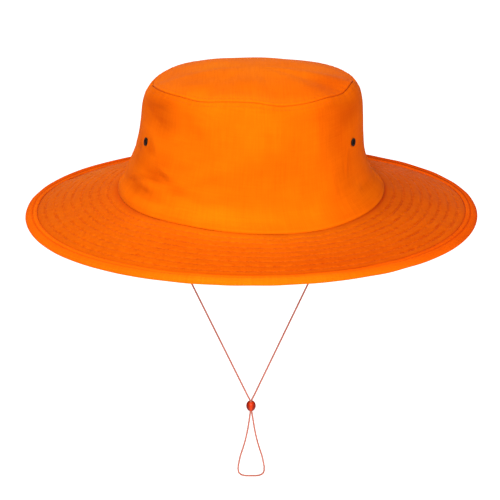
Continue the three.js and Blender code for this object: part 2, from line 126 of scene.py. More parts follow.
# Fine creases of the crown wall: azimuth, height as a share of the crown's height, half length
# and half width in mm, angle from level in degrees, depth in mm, below 0 for a ridge.
CREASES = (
    (-47, 0.315, 8, 2.2, -16, 0.85), (-55, 0.285, 7, 1.6, -3, 0.6), (-55, 0.24, 4, 2.5, -20, -0.4),
    (-69, 0.19, 10, 2.5, 16, 0.7), (-56, 0.165, 8, 1.5, -6, 0.5), (-34, 0.245, 9, 2.2, 17, 0.65),
    (-17, 0.36, 15, 4, 23, 0.5), (-39, 0.64, 8, 1.8, 13, -0.3), (-29, 0.73, 8, 4, -45, 0.45),
    (-58, 0.51, 6, 1.8, -45, 0.35), (-75, 0.45, 8, 2.4, 6, 0.5), (-69, 0.83, 5, 2, 0, 0.4),
    (-57, 0.86, 12, 2.5, -3, 0.4), (-56, 0.74, 9, 2.5, -16, 0.35), (-23, 0.865, 8, 1.5, -24, 0.3),
    (56.5, 0.4, 9, 1.6, 75, -0.35), (35.5, 0.72, 12, 2.6, 92, -0.35), (44.5, 0.26, 6, 2, 82, -0.3),
    (67, 0.16, 5, 1.6, 0, 0.5), (62, 0.23, 2, 1.2, 30, 0.3), (60, 0.79, 17, 6, -6, 0.8),
    (14, 0.8, 11, 3, 88, -0.35), (20.5, 0.74, 1.6, 0.7, -8, 0.25), (48, 0.725, 1.6, 0.7, -8, 0.25),
    (100, 0.3, 9, 2.2, -20, 0.5), (128, 0.62, 12, 3, 50, 0.5), (165, 0.28, 12, 2.4, 14, 0.6),
    (190, 0.66, 14, 4, -35, 0.5), (225, 0.24, 10, 2, 12, 0.6), (240, 0.8, 12, 3, 5, 0.45),
    (264, 0.35, 8, 2, 30, 0.5),
)

# Painted light and shade of the cloth: lighter patches where more light falls on it, darker
# patches where shade falls in folds and seams, on the far sides and at the binding's rear, and
# painted highlights such as the front of the binding. Each row has an azimuth, a place on the
# cloth, the half spans of both, how far the patch leans in degrees for each unit of place, and
# how much lighter it is as a share, below 0 where it is darker. The place is the height on the
# wall, the way from seam to middle on the top, from seam to edge on the brim, and from edge to
# hem on the binding.
WALL_PAINTED_SHADING = (
    (-60, 0.87, 23, 0.13, 0, -0.38), (-52, 0.75, 11, 0.1, 0, -0.2),
    (-70, 0.38, 12, 0.12, 0, -0.24),
    (-52, 0.32, 9, 0.04, -110, -0.34), (-34, 0.23, 8, 0.035, 60, -0.24),
    (-62, 0.17, 14, 0.035, 0, -0.36), (-45, 0.13, 8, 0.03, 0, -0.12),
    (-61, 0.54, 4, 0.07, -40, -0.28), (-74, 0.5, 5, 0.06, 0, -0.15),
    (-47, 0.42, 8, 0.09, 0, -0.12), (-29, 0.73, 5, 0.09, 0, -0.12),
    (-18, 0.34, 11, 0.07, 60, -0.13), (-14, 0.22, 9, 0.03, 30, -0.1),
    (8, 0.42, 13, 0.2, 20, -0.17), (24, 0.9, 9, 0.08, 0, -0.14),
    (60, 0.85, 18, 0.15, 0, -0.4), (38, 0.87, 8, 0.08, 0, -0.14), (46, 0.66, 10, 0.12, 0, -0.2),
    (56, 0.42, 7, 0.2, 20, -0.17), (66, 0.42, 5, 0.1, 0, -0.1), (70, 0.15, 7, 0.03, 0, -0.15),
    (0, 0.11, 38, 0.07, 0, 0.2), (34, 0.2, 5, 0.12, 30, 0.15), (6, 0.8, 9, 0.15, 0, 0.06),
    (-56, 0.22, 6, 0.022, 0, 0.2), (-46, 0.37, 5, 0.03, -60, 0.16),
    (-53, 0.275, 10, 0.02, 0, -0.27), (-35, 0.43, 6, 0.05, 0, -0.12),
    (-60, 0.49, 5, 0.03, -60, -0.15), (-50, 0.67, 9, 0.07, 0, -0.1),
    (-50, 0.93, 8, 0.03, 0, -0.1), (-50, 0.83, 9, 0.05, 0, 0.1), (-63, 0.125, 14, 0.025, 0, -0.12),
    (-20, 0.19, 7, 0.02, 0, -0.1), (45, 0.54, 8, 0.07, 0, -0.09), (45, 0.93, 9, 0.03, 0, -0.08),
    (66, 0.19, 8, 0.03, 0, 0.12), (5, 0.37, 7, 0.06, 0, 0.07), (28, 0.25, 4, 0.08, 0, 0.06),
)
TOP_PAINTED_SHADING = (
    (-10, 0.05, 42, 0.12, 0, 0.28), (62, 0.15, 26, 0.22, 0, -0.32), (0, 1, 999, 0.6, 0, 0.17),
    (-105, 0.55, 25, 0.2, 0, 0.14), (105, 0.3, 18, 0.2, 0, 0.1), (135, 0.05, 25, 0.12, 0, -0.25),
)
BRIM_PAINTED_SHADING = (
    (0, 0.06, 48, 0.17, 0, 0.34), (28, 0.72, 32, 0.22, 0, -0.24), (92, 0.5, 28, 0.6, 0, -0.13),
    (125, 0.5, 20, 0.6, 0, -0.18), (-78, 0.04, 28, 0.04, 0, -0.1), (-115, 0.35, 12, 0.35, 0, 0.14),
    (-44, 0.5, 6, 0.5, 0, 0.06), (25, 0.865, 55, 0.014, 0, -0.25),
    (180, 0.87, 80, 0.03, 0, -0.3), (-122, 0.6, 16, 0.3, 0, 0.12),
)
BINDING_PAINTED_SHADING = (
    (0, 0.35, 24, 0.4, 0, 0.34), (30, 0.92, 50, 0.22, 0, -0.35), (180, 0.4, 85, 0.9, 0, -0.55),
    (58, 0.3, 24, 0.6, 0, -0.22), (-88, 0, 14, 0.3, 0, -0.15), (92, 0, 18, 0.3, 0, -0.35),
    (122, 0.6, 28, 0.6, 0, -0.18), (-80, 0.5, 20, 0.5, 0, 0.12),
)

# Lift of the binding's upper face at the rear, laid out like a patch: azimuth, distance in from
# the edge, half spans, lean, and height in mm.
REAR_LIFT = (180, 1.5 * MM, 80, 4 * MM, 0, 0.8)

# Eyelets: node, azimuth, height as a share of the crown's height.
EYELETS = (
    ("eyelet_left_front", -66.2, 0.545),
    ("eyelet_left_back", -113.8, 0.545),
    ("eyelet_right_front", 62.9, 0.565),
    ("eyelet_right_back", 116.8, 0.555),
)

# Chin cord: its ends at the sweatband, the bead's centre, how far its two strands are turned in
# the bead in degrees, and the loop under the bead. Places are in mm.
CORD_LEFT_END = (-78, 43.8)
CORD_RIGHT_END = (75.9, 48.5)
BEAD_CENTRE = (-0.2, 44.6, -174.6)
STRAND_TURN = 55
CORD_LOOP = (
    (-1.5, 44.6, -186), (-2.6, 44.6, -193), (-4.2, 44.6, -200.8), (-5.9, 44.6, -207),
    (-7.8, 44.6, -213.2), (-8.9, 44.6, -218.6), (-9.4, 44.6, -222.6), (-8.7, 44.6, -226.3),
    (-5.6, 44.6, -228.2), (0, 44.6, -228.5), (5.5, 44.6, -228.2), (8.6, 44.6, -226.3),
    (9.3, 44.6, -222.6), (8.8, 44.6, -218.6), (7.7, 44.6, -213.2), (5.8, 44.6, -207),
    (4.1, 44.6, -200.8), (2.5, 44.6, -193), (1.4, 44.6, -186),
)


def length(name, description, default):
    """A length in metres for the sidebar."""
    return bpy.props.FloatProperty(
        name=name, description=description, default=default, min=0, unit="LENGTH", precision=4)


def colour(name, description, default):
    """A linear colour for the sidebar."""
    return bpy.props.FloatVectorProperty(
        name=name, description=description, default=default, subtype="COLOR", min=0, max=1)


class HatSizes(bpy.types.PropertyGroup):
    """Sizes of the hat's pieces."""
    head_half_width: length("Head half width", "Oval of the seam of crown and brim", 89 * MM)
    head_half_length: length("Head half length", "The same oval, front to back", 103.2 * MM)
    tip_half_width: length("Top half width", "Oval of the top panel's seam", 66.2 * MM)
    tip_half_length: length("Top half length", "The same oval, front to back", 77 * MM)
    crown_height: length("Crown height", "From the brim seam to the top seam", 75 * MM)
    dome_rise: length("Dome rise", "Middle of the top panel above its seam", 8.6 * MM)
    crown_sway: length("Crown sway", "Greatest sideways shift of the soft crown", 1.9 * MM)
    crown_cloth: length("Crown cloth", "Thickness of wall and top panel", 1.4 * MM)
    fold_depth: length("Fold depth", "Deepest soft fold in the wall", 2.4 * MM)
    brim_reach: length("Brim reach", "Level distance from seam to edge", 62.1 * MM)
    brim_drop: length("Brim drop", "Outer edge below the seam", 15.4 * MM)
    brim_dish: length("Brim dish", "Rear of the brim sunk inside its edge", 2.4 * MM)
    brim_cloth: length("Brim cloth", "Thickness of the stitched brim", 2.4 * MM)
    margin_cloth: length("Margin cloth", "Brim edge pressed in the binding", 1.2 * MM)
    binding_width: length("Binding width", "From the brim's edge inwards", 8.4 * MM)
    binding_cloth: length("Binding cloth", "Thickness of the binding strip", 1 * MM)
    binding_stitch: length("Binding stitch", "Stitch row in from the brim's edge", 5.3 * MM)
    first_row: length("First row", "First brim stitching out from the seam", 6.7 * MM)
    row_step: length("Row step", "Between two rows of brim stitching", 6.2 * MM)
    sweatband_height: length("Sweatband height", "Above the brim seam", 27 * MM)
    sweatband_cloth: length("Sweatband cloth", "Thickness of the sweatband", 1.4 * MM)
    top_stitch: length("Top stitch", "Rows either side of the top seam", 3.3 * MM)
    stitch_pitch: length("Stitch pitch", "From one stitch to the next", 2.8 * MM)
    thread: length("Thread", "Diameter of the sewing thread", 0.28 * MM)
    eyelet_radius: length("Eyelet radius", "Outside of an eyelet's rim", 2.75 * MM)
    cord_diameter: length("Cord diameter", "Diameter of the chin cord", 1.2 * MM)
    bead_radius: length("Bead radius", "Radius of the cord's bead", 3.15 * MM)
    bead_length: length("Bead length", "Length of the cord's bead", 7.4 * MM)
    gap: length("Gap", "Room kept between pieces", 0.3 * MM)


class HatColours(bpy.types.PropertyGroup):
    """Linear colours of the hat's finishes."""
    crown: colour("Crown", "Cloth of the crown", (0.69, 0.113, 0.0008))
    brim: colour("Brim", "Cloth of the brim", (0.59, 0.086, 0.0006))
    binding: colour("Binding", "Strip round the brim's edge", (0.74, 0.108, 0.001))
    sweatband: colour("Sweatband", "Plain band inside the crown", (0.76, 0.11, 0.005))
    thread: colour("Thread", "Sewing thread", (0.56, 0.078, 0.001))
    eyelet: colour("Eyelet", "Black enamel", (0.006, 0.003, 0.002))
    cord: colour("Cord", "Braided chin cord", (0.38, 0.115, 0.075))
    bead: colour("Bead", "Glossy plastic bead", (0.15, 0.003, 0.001))
    floor: colour("Floor", "Pale studio floor", (0.9, 0.9, 0.9))


def through(x, y, place):
    """Smooth curve through points: cubic pieces whose slope at a point is that of the line
    between its two neighbours."""
    x = np.asarray(x, float)
    y = np.asarray(y, float)
    before = np.maximum(np.arange(len(x)) - 1, 0)
    after = np.minimum(np.arange(len(x)) + 1, len(x) - 1)
    slope = (y[after] - y[before]) / (x[after] - x[before])
    place = np.asarray(place, float)
    i = np.clip(np.searchsorted(x, place, side="right") - 1, 0, len(x) - 2)
    span = x[i + 1] - x[i]
    t = (place - x[i]) / span
    rest = 1 - t
    start = y[i] * (1 + 2 * t) + slope[i] * span * t
    end = y[i + 1] * (1 + 2 * rest) - slope[i + 1] * span * rest
    return rest ** 2 * start + t ** 2 * end


def follow(table, along, value, place):
    """A table's column as a smooth curve along another column."""
    return through(table[along], table[value], place)


def follow_round(table, value, azimuth):
    """A table's column as a smooth curve that goes on round the hat."""
    x = np.array(table["azimuth"], float)
    y = np.array(table[value], float)
    x = np.concatenate([x[-3:] - 360, x, x[:3] + 360])
    y = np.concatenate([y[-3:], y, y[:3]])
    return through(x, y, np.mod(azimuth, 360))


def bump(distance, centre, width):
    """Rounded ridge: 1 at its centre and near 0 a width away."""
    return np.exp(-((distance - centre) / width) ** 2)


def wrapped(angle):
    """The same angle between -180 and 180 degrees."""
    return angle - 360 * np.round(angle / 360)


def ripples(azimuth, along, seed, waves, across):
    """Uneven ripples between about -1 and 1: a sum of cosines that each go a whole number of
    times round the hat, from waves[0] to waves[1], and slant by up to across radians for
    each unit of along."""
    draw = np.random.default_rng(seed)
    total, count = 0, 9
    for _ in range(count):
        turns = draw.integers(waves[0], waves[1] + 1)
        slant = draw.uniform(-across, across)
        phase = draw.uniform(0, 2 * np.pi)
        weight = draw.uniform(0.5, 1)
        total = total + weight * np.cos(turns * azimuth * DEGREE + slant * along + phase)
    return total / np.sqrt(count)


def patches(table, azimuth, place):
    """Sum of a table's patches: for each row a slanted bell over azimuth and place."""
    total = 0
    for at, middle, around_span, span, slant, share in table:
        around = wrapped(azimuth - at - slant * (place - middle)) / around_span
        total = total + share * np.exp(-around ** 2 - ((place - middle) / span) ** 2)
    return total


def rumple(x, y, seed, wave):
    """Uneven soft waves between about -1 and 1 over a flat of cloth: a sum of cosines that run
    in any direction, with lengths from wave[0] to wave[1]."""
    draw = np.random.default_rng(seed)
    total, count = 0, 8
    for _ in range(count):
        angle = draw.uniform(0, np.pi)
        turns = 2 * np.pi / draw.uniform(*wave)
        run = x * np.cos(angle) + y * np.sin(angle)
        total = total + np.cos(turns * run + draw.uniform(0, 2 * np.pi))
    return total / np.sqrt(count)


def unit(vectors):
    """Vectors of length 1 in the same directions."""
    return vectors / np.maximum(np.linalg.norm(vectors, axis=-1, keepdims=True), 1e-12)


def travelled(points, axis):
    """Distance gone along one axis of a grid of points, from its first row."""
    steps = np.linalg.norm(np.diff(points, axis=axis), axis=-1)
    gone = np.cumsum(steps, axis=axis)
    start = np.zeros_like(np.take(gone, [0], axis=axis))
    return np.concatenate([start, gone], axis=axis)


def along_line(place, run, values):
    """Rows of values that belong to distances run along a line, read at other distances."""
    return np.stack([np.interp(place, run, column) for column in values.T], -1)


def same_shape(azimuth, place):
    """Azimuths and places brought to the shape of one grid."""
    return np.broadcast_arrays(np.asarray(azimuth, float), place)


def columns_round(count):
    """Azimuths of a grid's columns, spread evenly round the hat."""
    return np.arange(count)[:, None] * (360 / count)


class Hat:
    """The hat's surfaces, each worked out from its sizes as a function of two parameters."""

    def __init__(self, sizes):
        self.size = sizes

    def seam_height(self, azimuth):
        """Height of the brim's inner edge."""
        return -self.size.brim_drop * follow_round(BRIM_WAVES, "seam", azimuth)

    def rim_height(self, azimuth):
        """Height of the brim's outer edge."""
        return -self.size.brim_drop * follow_round(BRIM_WAVES, "rim", azimuth)

    def fold(self, azimuth, height):
        """Depth of the wall's soft folds: a slanted bell for each row of the table, which
        fades out at the sewn edges."""
        depth = 0
        for at, up_at, around_span, up_span, slant, share in FOLDS:
            up = (height - up_at) / up_span
            around = wrapped(azimuth - at - slant * (height - up_at)) / around_span
            depth = depth + self.size.fold_depth * share * np.exp(-around ** 2 - up ** 2)
        fixed = np.sin(np.pi * np.clip(height, 0, 1))
        return depth * np.minimum(1, 2.5 * fixed)

    def crown_point(self, azimuth, climb):
        """Outer surface of the crown: an oval for each height. climb is 0 at the brim seam, 1
        at the top panel's seam and 2 at its middle. The wall goes by the section table. The
        top panel's ovals shrink with 2 - climb, while it rises as a flat dome."""
        azimuth, climb = same_shape(azimuth, climb)
        size = self.size
        height = np.clip(climb, 0, 1)
        share = np.where(climb > 1, 2 - climb, 1)
        flare = follow(CROWN_SECTIONS, "height", "flare", height)
        inward = np.where(climb > 1, 0, self.fold(azimuth, height))
        half_width = size.tip_half_width * (1 - flare) + size.head_half_width * flare
        half_length = size.tip_half_length * (1 - flare) + size.head_half_length * flare
        top = size.crown_height * follow_round(TIP_SEAM, "height", azimuth)
        mean = size.crown_height * np.mean(TIP_SEAM["height"])
        low = self.seam_height(azimuth)
        dome = mean + (top - mean) * share ** 1.5 + size.dome_rise * (1 - share ** 2.2)
        sway = size.crown_sway * follow(CROWN_SECTIONS, "height", "sway", height)
        return np.stack([
            share * (half_width - inward) * np.sin(azimuth * DEGREE) + sway,
            -share * (half_length - inward) * np.cos(azimuth * DEGREE),
            np.where(climb > 1, dome, low + (top - low) * height),
        ], -1)

    def crown_out(self, azimuth, climb):
        """Direction out of the crown's cloth: across the surface times up the surface. It is
        level at the brim seam and straight up at the middle of the top."""
        azimuth, climb = same_shape(azimuth, climb)
        point = self.crown_point
        across = point(azimuth + TURN_STEP, climb) - point(azimuth - TURN_STEP, climb)
        upward = point(azimuth, np.minimum(climb + PLACE_STEP, 2))
        upward = upward - point(azimuth, np.maximum(climb - PLACE_STEP, 0))
        out = np.cross(across, upward)
        level_up_to, flat_from = CROWN_SECTIONS["height"][2], 1.97
        out[..., 2] *= np.minimum(1, climb / level_up_to)
        out[climb > flat_from] = (0, 0, 1)
        return unit(out)

    def brim_point(self, azimuth, out):
        """Upper surface of the brim: an oval for each place from the seam (out 0) to the edge
        (out 1), whose height falls between the two edges' waves by the fall table. The rear
        sinks by the dish table, from nothing at the sides."""
        azimuth, out = same_shape(azimuth, out)
        size = self.size
        low, past_seam = self.seam_height(azimuth), np.maximum(out, 0)
        fall = follow(BRIM_FALL, "out", "fall", past_seam)
        dished_from, full_dish = 92, 130
        rear = (np.abs(wrapped(azimuth)) - dished_from) / (full_dish - dished_from)
        rear = np.clip(rear, 0, 1)
        dish = follow(BRIM_DISH, "out", "sink", past_seam) * rear ** 2 * (3 - 2 * rear)
        return np.stack([
            (size.head_half_width + size.brim_reach * out) * np.sin(azimuth * DEGREE),
            -(size.head_half_length + size.brim_reach * out) * np.cos(azimuth * DEGREE),
            low + (self.rim_height(azimuth) - low) * fall - size.brim_dish * dish,
        ], -1)

    def brim_up(self, azimuth, out):
        """Direction up out of the brim's cloth."""
        point = self.brim_point
        across = point(azimuth + TURN_STEP, out) - point(azimuth - TURN_STEP, out)
        outward = point(azimuth, out + PLACE_STEP) - point(azimuth, out - PLACE_STEP)
        return unit(np.cross(outward, across))

    def brim_rows(self):
        """Distances of the stitch rows from the brim seam, up to the binding."""
        size = self.size
        last = self.brim_slant() - size.binding_width - 0.4 * size.row_step
        return np.arange(size.first_row, last, size.row_step)

    def brim_slant(self):
        """Mean distance from seam to edge along the sloping brim."""
        return np.hypot(self.size.brim_reach, self.size.brim_drop)

    def binding_nose(self):
        """Half the thickness of the brim's edge once it is bound."""
        return self.size.margin_cloth / 2 + self.size.gap + self.size.binding_cloth

    def brim_quilt(self, azimuth, distance, seed):
        """Relief of the stitched brim: the cloth sinks along each row of stitches, swells
        between them and is drawn into short puckers beside them, most of all at the sides."""
        relief = 0
        side = 0.5 + 0.5 * np.sin(azimuth * DEGREE) ** 2
        pucker = ripples(azimuth, distance / MM, seed, (90, 190), 0.5)
        for row in self.brim_rows():
            relief = relief - 0.34 * bump(distance, row, 0.75 * MM)
            relief = relief + 0.09 * side * pucker * bump(distance, row, 2.4 * MM)
        relief = relief + 0.16 * ripples(azimuth, distance / MM, seed + 1, (9, 26), 0.05)
        relief = relief - 0.22 * bump(distance, 0.5 * MM, 1.2 * MM)
        return relief * MM

    def stroke_shade(self, azimuth, distance):
        """How much lighter the brim is painted along its stitch rows at both sides: painted shade,
        below 0, in a bell across each row, and painted highlight, above 0, in the row's flanks,
        broken up unevenly along the row."""
        from_front = wrapped(azimuth)
        side = 0.28 * bump(from_front, 66, 25) + 0.15 * bump(from_front, -82, 28)
        broken = np.clip(0.55 + 0.6 * ripples(azimuth, distance / MM, 41, (9, 40), 0.5), 0, 1.3)
        shade = 0
        for row in self.brim_rows():
            flanks = sum(bump(distance, row + way * 2.2 * MM, 1.1 * MM) for way in (-1, 1))
            shade = shade - bump(distance, row, 1.2 * MM) + 0.4 * flanks
        return side * broken * shade

    def brim_surface(self, azimuth, out):
        """The quilted upper surface of the brim."""
        relief = self.brim_quilt(azimuth, out * self.brim_slant(), 11)
        return self.brim_point(azimuth, out) + self.brim_up(azimuth, out) * relief[..., None]

    def under_surface(self, azimuth, out):
        """The quilted lower surface of the brim, a cloth's thickness below the upper one."""
        relief = self.brim_quilt(azimuth, out * self.brim_slant(), 31)
        depth = self.size.brim_cloth + relief
        return self.brim_point(azimuth, out) - self.brim_up(azimuth, out) * depth[..., None]

    def crease(self, azimuth, climb):
        """Depth of the wall's fine creases: for each row of the table a narrow bell, turned by
        its angle on the flattened wall."""
        size, depth = self.size, 0
        mean_radius = (size.head_half_width + size.tip_half_length) / 2
        for at, up_at, half_length, half_width, angle, deep in CREASES:
            around = wrapped(azimuth - at) * DEGREE * mean_radius
            upward = (climb - up_at) * size.crown_height
            along = around * np.cos(angle * DEGREE) + upward * np.sin(angle * DEGREE)
            across = upward * np.cos(angle * DEGREE) - around * np.sin(angle * DEGREE)
            bell = bump(along, 0, half_length * MM) * bump(across, 0, half_width * MM)
            depth = depth + deep * bell
        return depth

    def from_top_seam(self, climb):
        """Distance along the cloth from the top panel's seam, down the wall or up the top."""
        return np.abs(climb - 1) * np.where(climb > 1, self.size.tip_half_width, WALL_CLIMB)

    def crown_relief(self, azimuth, climb):
        """Fine relief of the crown: rolled in at both seams, a soft ridge over the turned seam
        allowance, a shallow groove under the topstitching, puckers beside it, and the wall's
        creases and slack waves."""
        azimuth, climb = same_shape(azimuth, climb)
        size = self.size
        seam, base = self.from_top_seam(climb), climb * size.crown_height
        pucker = ripples(azimuth, seam / MM, 3, (55, 120), 0.3)
        slack = ripples(azimuth, climb * 6, 5, (3, 13), 1.2)
        relief = -0.55 * bump(seam, 0, 0.6 * MM) + 0.08 * bump(seam, 1.6 * MM, 1.2 * MM)
        relief = relief - 0.06 * bump(seam, size.top_stitch, 0.8 * MM)
        relief = relief + 0.1 * pucker * bump(seam, 2.6 * MM, 2.6 * MM)
        relief = relief - 0.15 * bump(base, 0, 0.8 * MM)
        wall = np.clip((1 - climb) * WALL_CLIMB / (5 * MM), 0, 1) * np.clip(base / (4 * MM), 0, 1)
        relief = relief + wall * (0.18 * slack - self.crease(azimuth, climb))
        return relief * MM

    def crown_shade(self, azimuth, climb):
        """How much lighter the crown's cloth is painted: its patches of painted light and shade, a
        painted shadow in the top seam, and a painted highlight on the wall's lower edge over a
        painted shadow at the brim seam."""
        wall = patches(WALL_PAINTED_SHADING, azimuth, climb)
        top = patches(TOP_PAINTED_SHADING, azimuth, climb - 1)
        base = climb * self.size.crown_height
        # painted highlight on the wall's rolled lower edge over a painted shadow in the brim seam
        edge = 0.14 * bump(base, 1.4 * MM, 0.7 * MM) - 0.15 * bump(base, 0, 0.4 * MM)
        # painted shadow in the top seam, deeper towards the front
        line = bump(self.from_top_seam(climb), 0, 0.5 * MM)
        line = line * (0.3 + 0.12 * np.cos(azimuth * DEGREE))
        return np.where(climb > 1, top, wall + edge) - line

    def crown_surface(self, azimuth, climb, depth=0.0):
        """The crown's surface with its fine relief, or a surface a depth inside it."""
        lift = self.crown_relief(azimuth, climb) - depth
        return self.crown_point(azimuth, climb) + self.crown_out(azimuth, climb) * lift[..., None]


def skin(points, round_stations, round_section, holes=()):
    """Vertices and faces of a closed body from a grid of points, stations by section points.

    round_stations joins the last station to the first, and round_section closes each section.
    Open stations are closed by end faces between the section's two halves. A section that isn't
    closed starts and ends on poles. Each hole names the grid places of its two mouths, and a
    ring of faces joins the mouths in place of the four faces round each.
    """
    stations, width = points.shape[:2]
    index = np.arange(stations * width).reshape(stations, width)
    if not round_section:
        index[:, 0] = index[0, 0]
        index[:, -1] = index[0, -1]
    i = np.arange(stations if round_stations else stations - 1)
    j = np.arange(width if round_section else width - 1)
    a, b = np.meshgrid(i, j, indexing="ij")
    c, d = (a + 1) % stations, (b + 1) % width
    quads = np.stack([index[a, b], index[c, b], index[c, d], index[a, d]], -1)
    corners = np.stack([
        np.stack(pair, -1) for pair in ((a, b), (a + 1, b), (a + 1, b + 1), (a, b + 1))], -2)
    keep = np.ones(a.shape, bool)
    extra = [np.zeros((0, 4), int)]
    ring = np.array(((-1, -1), (0, -1), (1, -1), (1, 0), (1, 1), (0, 1), (-1, 1), (-1, 0)))
    for station, outer, inner in holes:
        mouth = index[station + ring[:, 0], outer + ring[:, 1]]
        back = index[station + ring[:, 0], inner - ring[:, 1]]
        keep[station - 1:station + 1, outer - 1:outer + 1] = False
        keep[station - 1:station + 1, inner - 1:inner + 1] = False
        extra.append(np.stack([mouth, np.roll(mouth, -1), np.roll(back, -1), back], -1))
    if not round_stations:
        k = np.arange(width // 2 - 1)
        m = width - 1 - k
        for row, around in ((index[0], (k, k + 1, m - 1, m)), (index[-1], (m, m - 1, k + 1, k))):
            extra.append(np.stack([row[place] for place in around], -1))
    return quads[keep], corners[keep], np.concatenate(extra)


def finished_mesh(name, vertices, corners, counts, uv, shade=None):
    """A smooth mesh from its vertices, the corners of all faces one after another, how many of
    them each face has, the cloth's own place for each corner, and how much lighter or darker the
    cloth is painted at each vertex, as painted light and shade."""
    mesh = bpy.data.meshes.new(name)
    mesh.vertices.add(len(vertices))
    mesh.vertices.foreach_set("co", vertices.astype(np.float32).ravel())
    mesh.loops.add(len(corners))
    mesh.loops.foreach_set("vertex_index", corners.astype(np.int32))
    mesh.polygons.add(len(counts))
    mesh.polygons.foreach_set("loop_start", (np.cumsum(counts) - counts).astype(np.int32))
    mesh.polygons.foreach_set("use_smooth", np.ones(len(counts), bool))
    layer = mesh.uv_layers.new(name="Cloth")
    layer.data.foreach_set("uv", uv.astype(np.float32).ravel())
    if shade is not None:
        layer = mesh.attributes.new("Shade", "FLOAT", "POINT")
        layer.data.foreach_set("value", shade.astype(np.float32))
    mesh.update(calc_edges=True)
    mesh.validate()
    return mesh


def build_mesh(name, points, uv, round_stations, round_section, holes=(), shade=None):
    """A closed body from a grid of points, turned right side out. uv holds the cloth's own two
    lengths in metres, with one more row or column than the grid where that goes round, so that
    no face spans the jump, and is 0 for a finish that reads none. A face that meets a pole
    loses its doubled corner."""
    if uv is None:
        uv = np.zeros((points.shape[0] + 1, points.shape[1] + 1, 2))
    faces, corners, extra = skin(points, round_stations, round_section, holes)
    vertices = points.reshape(-1, 3)
    face_uv = uv[corners[..., 0], corners[..., 1]]
    uv_flat = uv[:points.shape[0], :points.shape[1]].reshape(-1, 2)
    faces = np.concatenate([faces, extra])
    face_uv = np.concatenate([face_uv, uv_flat[extra]])
    p = vertices[faces]
    volume = np.einsum("nk,nk->", p[:, 0], np.cross(p[:, 1], p[:, 2]))
    volume += np.einsum("nk,nk->", p[:, 0], np.cross(p[:, 2], p[:, 3]))
    if volume < 0:
        faces, face_uv = faces[:, ::-1], face_uv[:, ::-1]
    kept, compact = np.unique(faces, return_inverse=True)
    faces = compact.reshape(faces.shape)
    chosen = faces != np.roll(faces, -1, axis=1)
    if shade is not None:
        shade = np.broadcast_to(shade, points.shape[:2]).ravel()[kept]
    return finished_mesh(
        name, vertices[kept], faces[chosen], chosen.sum(axis=1), face_uv[chosen], shade)


def add_piece(mesh, material, nodes):
    """An object for a finished mesh, which rides on the hat and stands for the named solids."""
    piece = bpy.data.objects.new(mesh.name, mesh)
    bpy.context.scene.collection.objects.link(piece)
    mesh.materials.append(material)
    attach(piece, "root")
    if nodes:
        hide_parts(*nodes)
    return piece


class Nodes:
    """Short ways to place and join nodes of one tree."""

    def __init__(self, tree):
        self.tree = tree

    def fill(self, node, inputs):
        """Gives a node's inputs their values, or joins them to the sockets that feed them."""
        for key, value in inputs.items():
            if isinstance(value, bpy.types.NodeSocket):
                self.tree.links.new(value, node.inputs[key])
            else:
                node.inputs[key].default_value = value

    def add(self, kind, inputs=None, **settings):
        """A node with its settings and inputs."""
        node = self.tree.nodes.new(kind)
        for key, value in settings.items():
            setattr(node, key, value)
        self.fill(node, inputs or {})
        return node

    def math(self, operation, a, b=0.0, c=0.0):
        """One step of arithmetic."""
        return self.add("ShaderNodeMath", {0: a, 1: b, 2: c}, operation=operation).outputs[0]

    def bell(self, distance, width):
        """A bell over a distance: e to the power of minus the square of distance / width."""
        share = self.math("DIVIDE", distance, width)
        square = self.math("MULTIPLY", share, share)
        return self.math("EXPONENT", self.math("MULTIPLY", square, -1.0))

    def scaled(self, vector, factors):
        """A vector or colour with each part multiplied by its own factor."""
        node = self.add("ShaderNodeVectorMath", {0: vector, 1: factors}, operation="MULTIPLY")
        return node.outputs[0]

    def parts(self, vector):
        """The three parts of a vector."""
        return self.add("ShaderNodeSeparateXYZ", {0: vector}).outputs

    def noise(self, vector, scale, detail=2.0, roughness=0.5):
        """Smooth noise round one half."""
        node = self.add("ShaderNodeTexNoise", {
            "Vector": vector, "Scale": scale, "Detail": detail, "Roughness": roughness})
        return node.outputs["Fac"]

    def cloth_noise(self, vector, along, across, detail=2.0, roughness=0.5):
        """Noise with its own number of turns per metre along and across the cloth, less one
        half."""
        place = self.scaled(vector, (along, across, 1))
        return self.math("SUBTRACT", self.noise(place, 1.0, detail, roughness), 0.5)


def cloth_group(name, inputs, build):
    """A shader node group that works out Tone and Height from a Vector and named numbers.
    build does this with a Nodes and the group's inputs."""
    found = bpy.data.node_groups.get(name)
    if found:
        return found
    group = bpy.data.node_groups.new(name, "ShaderNodeTree")
    group.interface.new_socket("Vector", in_out="INPUT", socket_type="NodeSocketVector")
    for label in inputs:
        group.interface.new_socket(label, in_out="INPUT", socket_type="NodeSocketFloat")
    for label in ("Tone", "Height"):
        group.interface.new_socket(label, in_out="OUTPUT", socket_type="NodeSocketFloat")
    n = Nodes(group)
    tone, height = build(n, n.add("NodeGroupInput").outputs)
    n.add("NodeGroupOutput", {"Tone": tone, "Height": height})
    return group


